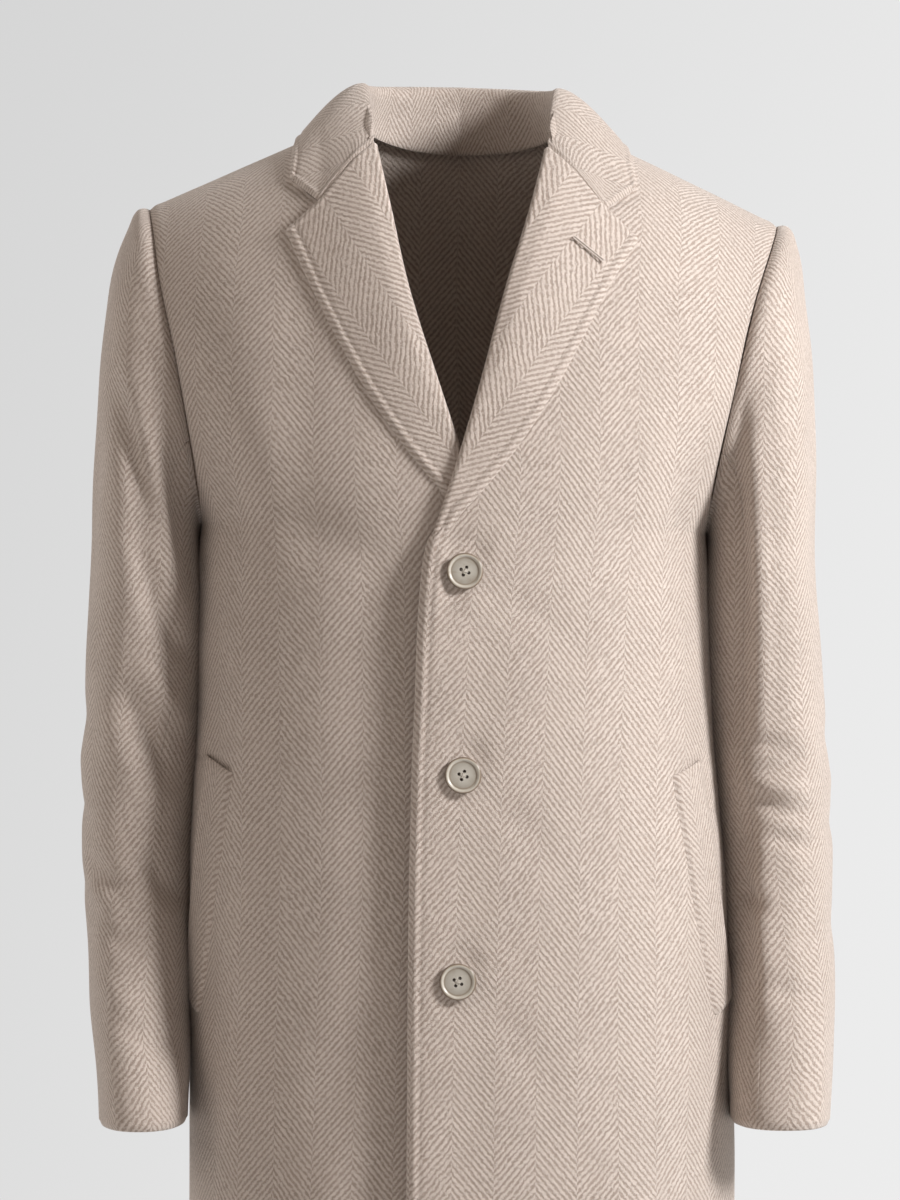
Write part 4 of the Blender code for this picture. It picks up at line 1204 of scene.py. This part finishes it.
def collarRoll(t):
    angle = np.minimum(t, 1) * pi / 2
    side = collar["rollHalfWidth"]
    height = mix(collar["rollBackZ"], collar["rollSideZ"], np.sin(angle) ** 2)
    back = stack(side * np.sin(angle), body["seamLine"] + collar["rollBack"] * np.cos(angle), height)
    x, z = front["gorge"]
    lift = (cloth["wall"] + cloth["layerGap"]) * 0.4 + 0.0006
    end = frontSurface(np.array(x), np.array(z), "left", lift)
    f = np.clip(t - 1, 0, 1)
    ahead = stack(
        mix(side, end[0], f * f), mix(body["seamLine"], end[1], f),
        mix(collar["rollSideZ"], end[2], f**1.3),
    )
    return np.where((t <= 1)[..., None], back, ahead)


def collarEdge(t):
    angle = np.minimum(t, 1) * pi / 2
    corner = onBody(np.array(collar["corner"][0]), np.array(collar["corner"][1]), "front")
    f = np.clip(t - 1, 0, 1)
    wide, seam = collar["edgeHalfWidth"], body["seamLine"]
    x = np.where(t <= 1, wide * np.sin(angle), mix(wide, corner[0], f))
    y = np.where(t <= 1, seam + collar["edgeBack"] * np.cos(angle), mix(seam, corner[1], f))
    lift = cloth["wall"] + cloth["layerGap"]
    behind = stack(x, y, heightOver(x, y, "back"))
    ahead = stack(x, y, heightOver(x, y, "front"))
    behind = behind + bodyNormal(behind, "back") * lift
    ahead = ahead + bodyNormal(ahead, "front") * lift
    return np.where((y < body["seamLine"])[..., None], ahead, behind)


def collarSeam(t):
    x = body["neckX"] * np.sin(np.minimum(t, 1) * pi / 2)
    back = onBody(x, np.minimum(backNeckZ(x), ridgeHeight(x)), "back")
    z = front["gorge"][1] * np.clip(t - 1, 0, 1)
    ahead = onBody(frontEdgeX(z), z, "front")
    return np.where((t <= 1)[..., None], back, ahead)


def level(vectors):
    return unit(vectors * np.array([1.0, 1, 0]))


def standPoint(t, k):
    roll, foot = collarRoll(t), collarSeam(t)
    out = level(collarEdge(t) - roll)
    up = np.array([0, 0, 1.0])
    lap = (1 - smoothStep(1.15, 1.75, t))[..., None]
    foot = foot - out * (cloth["wall"] + 0.0033 * lap) + up * (2 * cloth["layerGap"] - 0.0080 * lap)
    rise = np.maximum(cloth["wall"], roll[..., 2] - foot[..., 2])[..., None]
    top = roll - out * collar["standLean"] - up * rise * 0.15
    return bezier(foot, foot + up * rise * 0.5, top, roll, k[..., None])


def fallPoint(t, k):
    roll, edge = collarRoll(t), collarEdge(t)
    spread = edge - roll
    flat = np.linalg.norm(spread[..., :2], axis=-1, keepdims=True)
    ahead, behind = bodyNormal(edge, "front"), bodyNormal(edge, "back")
    normal = np.where((edge[..., 1] < body["seamLine"])[..., None], ahead, behind)
    leave = roll + level(spread) * (collar["roundness"] + 0.15 * flat)
    land = edge - spread * 0.35 + normal * collar["hollow"]
    return bezier(roll, leave, land, edge, k[..., None])


def collarEndPoint(k):
    x, z = topEdge(k, collar["corner"])
    return onBody(x, z + cloth["seamGap"], "front", lapelHeight(k, np.zeros(k.shape)))


def collarSection(t, k):
    fall = fallPoint(t, np.clip(k - 1, 0, 1))
    shareK = np.clip(k - 1, 0, 1)
    ending = collarEndPoint(shareK) - fallPoint(np.full(np.shape(t), 2.0), shareK)
    fall = fall + ending * (np.clip(t - 1, 0, 1) ** 4)[..., None]
    return np.where((k < 1)[..., None], standPoint(t, np.clip(k, 0, 1)), fall)


def softenFold(line, at, reach, rounds):
    # rounds off the fold by averaging the points near it
    gone = lengths(line)
    weight = (1 - smoothStep(reach * 0.4, reach, np.abs(gone - at)))[:, None]
    for _ in range(rounds):
        average = line.copy()
        average[1:-1] = (line[:-2] + line[2:]) / 2
        line = mix(line, average, weight * 0.9)
    return line


def collarGrid():
    stations = np.concatenate([
        np.linspace(0, 1.93, collar["stations"]), [1.947, 1.962, 1.975, 1.985, 1.993, 2.0],
    ])
    fineK = np.concatenate([np.linspace(0, 1, 61)[:-1], np.linspace(1, 2, 121)])
    lines = []
    for t in stations:
        line = collarSection(np.full(fineK.shape, t), fineK)
        foldAt = lengths(line)[60]
        total = lengths(line)[-1]
        even = atLengths(line, np.linspace(0, total, 161))
        even = softenFold(even, foldAt, 0.010, 40)
        total = lengths(even)[-1]
        edge = total - np.array(fineEdge)[::-1]
        stand = np.linspace(0, foldAt, collar["standColumns"])
        fall = np.linspace(foldAt, edge[0], collar["fallColumns"])
        lines.append(atLengths(even, np.concatenate([stand, fall[1:], edge[1:]])))
    return np.array(lines), stations


def collarWeave(half, stations):
    # round the back the columns follow the stations, and in front they run straight in from the edge
    tEdge = np.linspace(0, 2, 401)
    edge, fold = collarEdge(tEdge), collarRoll(tEdge)
    middle = lengths(mix(fold, edge, 0.62))
    last = (edge[-1] - edge[-8]) / np.linalg.norm(edge[-1] - edge[-8])
    line = np.concatenate([edge, edge[-1] + last * np.linspace(0, 0.09, 60)[1:, None]])
    gone = lengths(line)
    gone = gone - gone[200] + middle[200]
    flat = half.reshape(-1, 3)
    nearest = np.empty(len(flat), int)
    for start in range(0, len(flat), 2000):
        block = flat[start:start + 2000]
        gaps = ((block[:, None, :] - line[None]) ** 2).sum(axis=-1)
        nearest[start:start + 2000] = gaps.argmin(axis=1)
    i = np.clip(nearest, 1, len(line) - 2)
    run = line[i + 1] - line[i - 1]
    share = ((flat - line[i - 1]) * run).sum(axis=1) / (run * run).sum(axis=1)
    ahead = (gone[i - 1] + share * (gone[i + 1] - gone[i - 1])).reshape(half.shape[:2])
    behind = np.interp(stations, tEdge, middle)[:, None]
    u = mix(behind, ahead, smoothStep(0.95, 1.35, stations)[:, None])
    inLength = lengths(half)
    return np.stack([u, inLength[:, -1:] - inLength], axis=-1)


def collarPiece():
    half, stations = collarGrid()
    weave = collarWeave(half, stations)
    fallStart = collar["standColumns"] - 1
    weave[:, :fallStart, 0] = weave[:, fallStart:fallStart + 1, 0]
    mirror = half[:0:-1] * np.array([-1.0, 1, 1])
    points = np.concatenate([mirror, half])[:, ::-1]
    weaves = np.concatenate([weave[:0:-1] * np.array([-1.0, 1]), weave])[:, ::-1]
    normals = gridNormals(points)
    for end, side in ((0, -1), (-1, 1)):
        place = points[end] * np.array([float(side), 1, 1])
        normal = bodyNormal(place, "front") * np.array([float(side), 1, 1])
        keep = slice(0, points.shape[1] - 15)
        normals[end][keep] = normal[keep]
    thickness = np.full(points.shape[:2], collar["wall"])
    sides = Sides("free", "free", "free", "hidden")
    shape = edgeShape(points, thickness, sides, ("first", "bottom", "top"))
    points = points + normals * shape[..., None]
    return shell("cloth_collar", points, normals, weaves, thickness, sides)


pieces["collar"] = collarPiece()
print("collar made")


def weltPiece(side):
    ends = fineEdge[:8]
    rows = spacing(welt["length"], welt["step"], ends, ends) / welt["length"]
    shares = spacing(welt["width"], welt["step"] * 0.9, ends, (0.0, 0.0012)) / welt["width"]
    grid = []
    for t in rows:
        x0, z0 = mix(welt["bottomX"], welt["topX"], t), mix(welt["bottomZ"], welt["topZ"], t)
        x0 += welt["shift"][side]
        width = halfWidth(z0, "front")
        angles = np.linspace(turnOf(x0, width), pi / 2 - 0.002, 300)
        line = onBody(xAtTurn(angles, width), np.full(angles.shape, z0), "front")
        path = atLengths(line, welt["width"] * shares)
        z = z0 + welt["slant"] * shares
        grid.append(onBody(path[:, 0], z, "front"))
    base = np.array(grid)
    normals = bodyNormal(base, "front")
    lift = bodyCreases(base, "front", side)
    thickness = np.full(base.shape[:2], welt["wall"])
    sides = Sides("free", "free", "free", "seam")
    shape = edgeShape(base, thickness, sides, ("first",))
    # sewn down along its inner edge, and open above
    gone = lengths(base)
    rise = welt["wall"] * (0.35 + 0.65 * smoothStep(0, 0.006, gone)) + cloth["layerGap"] * 0.5
    points = base + normals * (lift + shape + rise)[..., None]
    weave = np.stack([lengths(base) + welt["weaveAt"], lengthsUp(base) + base[0, 0, 2]], axis=-1)
    return shell(f"cloth_welt_{side}", points, normals, weave, thickness, sides, side == "right")


for side in ("left", "right"):
    pieces[f"welt_{side}"] = weltPiece(side)
print("welts made")

button = dict(
    places=[(0.0016, -0.327), (0.0003, -0.467), (-0.0032, -0.608)], tilts=[66, 70, 60],
    radius=0.0126, height=0.0042, dish=0.0010, holeRadius=0.00118, holeRing=0.0029, sides=96, gap=0.0006,
)


def buttonProfile():
    r, h, d = button["radius"], button["height"], button["dish"]
    return [
        (r * 0.60, 0.0), (r * 0.80, h * 0.05), (r - 0.0014, h * 0.18), (r - 0.0005, h * 0.36),
        (r, h * 0.60), (r, h * 0.78), (r - 0.0003, h * 0.90), (r - 0.0008, h * 0.975), (r - 0.0013, h),
        (r - 0.0018, h * 0.985), (r - 0.0023, h - d * 0.42), (r - 0.0026, h - d * 0.85),
        (r - 0.0030, h - d * 1.05), (r - 0.0037, h - d * 1.08), (r * 0.60, h - d), (r * 0.48, h - d * 0.92),
        (r * 0.38, h - d * 0.88),
    ]


def buttonMesh(tilt):
    # a turned disc; its middle is a flat plate cut round the four holes
    count = button["sides"]
    turns = np.linspace(0, 2 * pi, count, endpoint=False)
    rings = [stack(radius * np.cos(turns), radius * np.sin(turns), np.full(count, height))
             for radius, height in buttonProfile()]
    points = [p for ring in rings for p in ring]
    faces = []
    for k in range(len(rings) - 1):
        for j in range(count):
            a, b = k * count + j, k * count + (j + 1) % count
            faces.append((a, b, b + count, a + count))
    plateZ = rings[-1][0][2]
    holeSides, sector = 16, count // 4
    top = (len(rings) - 1) * count
    centreTop = len(points)
    points.append(np.array([0, 0, plateZ]))
    centreBottom = len(points)
    points.append(np.array([0, 0, 0.0]))
    for q in range(4):
        angle = radians(tilt) + q * pi / 2
        middle = np.array([cos(angle), sin(angle)]) * button["holeRing"]
        firsts = []
        for base, z, centre, flip in ((top, plateZ, centreTop, False), (0, 0.0, centreBottom, True)):
            first = len(points)
            firsts.append(first)
            for h in range(holeSides):
                a = angle + pi + (h + 0.5) * 2 * pi / holeSides
                spot = middle + np.array([cos(a), sin(a)]) * button["holeRadius"]
                points.append(np.array([spot[0], spot[1], z]))
            # the sector's outline: its centre, the arc of the outer ring and back
            startTurn = round((angle - pi / 4) / (2 * pi) * count) % count
            outline = [centre] + [base + (startTurn + s) % count for s in range(sector + 1)]
            ring = [first + h for h in range(holeSides)]
            faces += stitchRings(points, outline, ring, angle, flip)
        for h in range(holeSides):
            n = (h + 1) % holeSides
            faces.append((firsts[0] + h, firsts[0] + n, firsts[1] + n, firsts[1] + h))
    return points, faces


def stitchRings(points, outline, ring, facing, flip):
    # triangles between a sector's outline and the hole in it, matched by their angle about the hole
    middle = np.mean([points[k] for k in ring], axis=0)

    def bearing(k):
        offset = points[k] - middle
        return (np.arctan2(offset[1], offset[0]) - facing - pi) % (2 * pi)

    outer, inner = sorted(outline, key=bearing), sorted(ring, key=bearing)
    faces, i, j = [], 0, 0
    while i < len(outer) or j < len(inner):
        nextOuter = bearing(outer[i]) if i < len(outer) else 99
        nextInner = bearing(inner[j]) if j < len(inner) else 99
        a, b = outer[i % len(outer)], inner[j % len(inner)]
        if nextOuter <= nextInner:
            i += 1
            c = outer[i % len(outer)]
        else:
            j += 1
            c = inner[j % len(inner)]
        faces.append((b, c, a) if flip else (a, c, b))
    return faces


def tube(path, radius, sides=6):
    # a closed round thread along a path
    path = np.array(path)
    tangents = unit(np.gradient(path, axis=0))
    helper = np.array([0.0, 0, 1]) if abs(tangents[0][2]) < 0.9 else np.array([1.0, 0, 0])
    points, faces = [], []
    for spot, tangent in zip(path, tangents):
        a = np.cross(tangent, helper)
        a = a / np.linalg.norm(a)
        b = np.cross(tangent, a)
        for k in range(sides):
            turn = 2 * pi * k / sides
            points.append(spot + (a * cos(turn) + b * sin(turn)) * radius)
    rows = len(path)
    for i in range(rows - 1):
        for k in range(sides):
            n = (k + 1) % sides
            faces.append((i * sides + k, i * sides + n, (i + 1) * sides + n, (i + 1) * sides + k))
    faces.append(tuple(range(sides))[::-1])
    faces.append(tuple((rows - 1) * sides + k for k in range(sides)))
    return points, faces


def joined(name, parts, material, discs=None):
    points, faces = [], []
    for partPoints, partFaces in parts:
        base = len(points)
        points += [tuple(p) for p in partPoints]
        faces += [tuple(k + base for k in face) for face in partFaces]
    mesh = bpy.data.meshes.new(name)
    mesh.from_pydata(points, [], faces)
    if discs is not None:
        layer = mesh.uv_layers.new(name="disc")
        for loop in mesh.loops:
            layer.data[loop.index].uv = discs[loop.vertex_index]
    mesh.shade_smooth()
    mesh.set_sharp_from_angle(angle=radians(50))
    return pieceOf(name, mesh, material)


def frontPlace(x, z):
    # a posed point on the left front, creases included, with its outward direction
    base = onBody(np.array([[x]]), np.array([[z]]), "front")
    normal = bodyNormal(base, "front")
    lift = bodyCreases(base, "front", "left")
    lift = lift + front["proud"] * (1 - smoothStep(0.0, front["proudWidth"], x - float(frontEdgeX(z))))
    return pose(base + normal * lift[..., None])[0, 0], normal[0, 0]


def addButton(number, x, z, tilt):
    spot, facing = frontPlace(x, z)
    turn = np.array(Vector(facing).to_track_quat("Z", "Y").to_matrix())
    points, faces = buttonMesh(tilt)
    lifted = spot + facing * button["gap"]
    placed = [turn @ p + lifted for p in points]
    discs = [(np.hypot(p[0], p[1]) / button["radius"], 0.0) for p in points]
    piece = joined(f"horn_button_{number}", [(placed, faces)], hornMaterial, discs)
    h = button["height"] - button["dish"] * 0.88
    strands = []
    for a, b in ((0, 2), (1, 3)):
        ends = [radians(tilt) + k * pi / 2 for k in (a, b)]
        for shift in (-0.00028, 0.00028):
            p0, p1 = (np.array([cos(e), sin(e)]) * (button["holeRing"] - 0.00070) for e in ends)
            sideways = np.array([-(p1 - p0)[1], (p1 - p0)[0]]) / np.linalg.norm(p1 - p0) * shift
            path = []
            for s in np.linspace(0, 1, 13):
                flat = mix(p0, p1, s) + sideways
                arch = h + 0.00030 + 0.00022 * sin(pi * s) if 0 < s < 1 else h - 0.0020
                path.append(turn @ np.array([flat[0], flat[1], arch]) + lifted)
            strands.append(tube(path, thread["radius"]))
    strand = joined(f"thread_button_{number}", strands, threadMaterial)
    return piece, strand


stitch = dict(
    pitch=0.0074, length=0.0017, radius=0.00026,
    hole=[(0.0776, -0.0940), (0.0880, -0.1022), (0.0978, -0.1100)],      # x and z on the left lapel
    # the first radius is for the dark tube of painted shade in the buttonhole's gap
    shadeSlit=0.00024, lip=0.00052, lipShift=0.00075,
)


def handStitches(line, facing):
    # short dark threads that dip into the cloth at both ends
    gone = lengths(line)
    strands = []
    for k, at in enumerate(np.arange(0.005, gone[-1] - 0.005, stitch["pitch"])):
        middle = at + 0.0007 * sin(k * 2.4)
        reach = stitch["length"] * (1 + 0.25 * sin(k * 1.7))
        run = np.linspace(-0.5, 0.5, 5)
        path = atLengths(line, middle + run * reach)
        normal = unit(np.array([np.interp(middle, gone, facing[:, axis]) for axis in range(3)]))
        height = 0.00010 - 0.0030 * run**2
        strands.append(tube(path + normal * height[:, None], stitch["radius"]))
    return strands


def lapelButtonhole():
    # a worked hole on the left lapel: two corded lips, with a bar at its outer end, and between the lips a
    # dark thread tube that is painted shade for the gap
    vertices = pieces["lapel_left"].data.vertices
    flat = np.empty(len(vertices) * 3, np.float32)
    vertices.foreach_get("co", flat)
    surface = flat.reshape(-1, 3)
    a, b, c = (np.array(p) for p in stitch["hole"])
    line = [a * (1 - t) ** 2 + b * (2 * t * (1 - t)) + c * t * t for t in np.linspace(0, 1, 24)]

    def lay(spot, lift):
        # a point that far in front of the level just under the lapel's face
        near = np.hypot(surface[:, 0] - spot[0], surface[:, 2] - spot[1]) < 0.0060
        return np.array([spot[0], surface[near][:, 1].min() + 0.0006 - lift, spot[1]])

    along = unit(c - a)
    beside = np.array([-along[1], along[0]])
    # painted shade: a dark tube along the gap between the lips
    shadeSlit = tube([lay(p, 0.00018) for p in line], stitch["shadeSlit"])
    lips = [
        tube([lay(p + beside * shift, 0.00030) for p in line], stitch["lip"])
        for shift in (-stitch["lipShift"], stitch["lipShift"])
    ]
    bar = [lay(c + along * 0.0004 + beside * k, 0.0005) for k in np.linspace(-0.0016, 0.0016, 7)]
    return shadeSlit, lips + [tube(bar, 0.00045)]


threads = []
shadeSlit, lips = lapelButtonhole()
runs = [strand for line, facing in stitchLines for strand in handStitches(line, facing)]
# the dark hand stitches, and the buttonhole's tube of painted shade, in the same dark finish
threads.append(joined("stitches", runs + [shadeSlit], stitchAndSlitShadeMaterial))
threads.append(joined("buttonhole", lips, workedMaterial))
for number, ((x, z), tilt) in enumerate(zip(button["places"], button["tilts"]), 1):
    pieces[f"button_{number}"], strand = addButton(number, x, z, tilt)
    threads.append(strand)
print("buttons made")

for name, piece in pieces.items():
    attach(piece, "root")
    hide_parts(name)
for strand in threads:
    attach(strand, "root")
print("pieces bound to their nodes")

studio = dict(
    dim=(0.208, 0.171, 0.143), floorZ=-1.50, floorRadius=4.6, floorSides=96, floorColour=(0.80, 0.80, 0.80),
    camera=(-0.00866, -3.0, -0.3466), lens=124.65,
)
world = bpy.data.worlds.new("studio")
bpy.context.scene.world = world
world.use_nodes = True
backdrop = Finish("backdropLight", world)
place = backdrop.add("ShaderNodeTexCoord")
axes = backdrop.tree.nodes.new("ShaderNodeSeparateXYZ")
backdrop.feed(axes.inputs[0], place)
sideways, ahead, up = (Wire(backdrop, axes.outputs[k]) for k in range(3))
behindCoat = backdrop.ramp(ahead, -0.75, 0.80)      # bright behind the coat, dimmer in front of it
slope = backdrop.ramp(sideways * 0.9 - up * 0.35, -0.22, 0.17)
glow = (slope * 0.19 + 0.655) * behindCoat
red, green, blue = (glow + (1 - behindCoat) * part for part in studio["dim"])
backdrop.feed(world.node_tree.nodes["Background"].inputs["Color"], backdrop.join(red, green, blue))
world.node_tree.nodes["Background"].inputs["Strength"].default_value = 1.0

floorFinish = Finish("paperFloor")
floorFinish.shader.inputs["Base Color"].default_value = (*studio["floorColour"], 1)
floorFinish.shader.inputs["Roughness"].default_value = 0.9
rim = [(studio["floorRadius"] * cos(a), studio["floorRadius"] * sin(a), studio["floorZ"])
       for a in np.linspace(0, 2 * pi, studio["floorSides"], endpoint=False)]
disc = bpy.data.meshes.new("floor")
disc.from_pydata(rim, [], [tuple(range(len(rim)))])
floor = pieceOf("floor", disc, floorFinish.material)

lamps = [      # name, place, aimed at, size, power, colour
    ("key", (1.90, -1.10, 0.66), (0.0, 0.0, -0.28), 0.62, 90, (0.975, 0.985, 1.0)),
    ("fill", (-2.4, -1.7, 0.6), (0.0, 0.0, -0.35), 1.8, 17, (1.0, 0.93, 0.87)),
    ("rim", (-2.2, 1.0, 0.8), (0.0, 0.0, -0.3), 1.2, 16, (1.0, 0.99, 0.98)),
]
for name, place, aim, size, power, colour in lamps:
    lamp = bpy.data.lights.new(name, "AREA")
    lamp.shape, lamp.size, lamp.energy, lamp.color = "DISK", size, power, colour
    holder = bpy.data.objects.new(name, lamp)
    holder.location = place
    holder.rotation_euler = (Vector(aim) - Vector(place)).to_track_quat("-Z", "Y").to_euler()
    bpy.context.collection.objects.link(holder)

lens = bpy.data.cameras.new("camera")
lens.sensor_fit, lens.sensor_height, lens.lens = "VERTICAL", 36.0, studio["lens"]
camera = bpy.data.objects.new("camera", lens)
camera.location = studio["camera"]
camera.rotation_euler = (radians(90), 0, 0)
bpy.context.collection.objects.link(camera)
bpy.context.scene.camera = camera
bpy.context.scene.view_settings.view_transform = "Standard"
print("studio made")
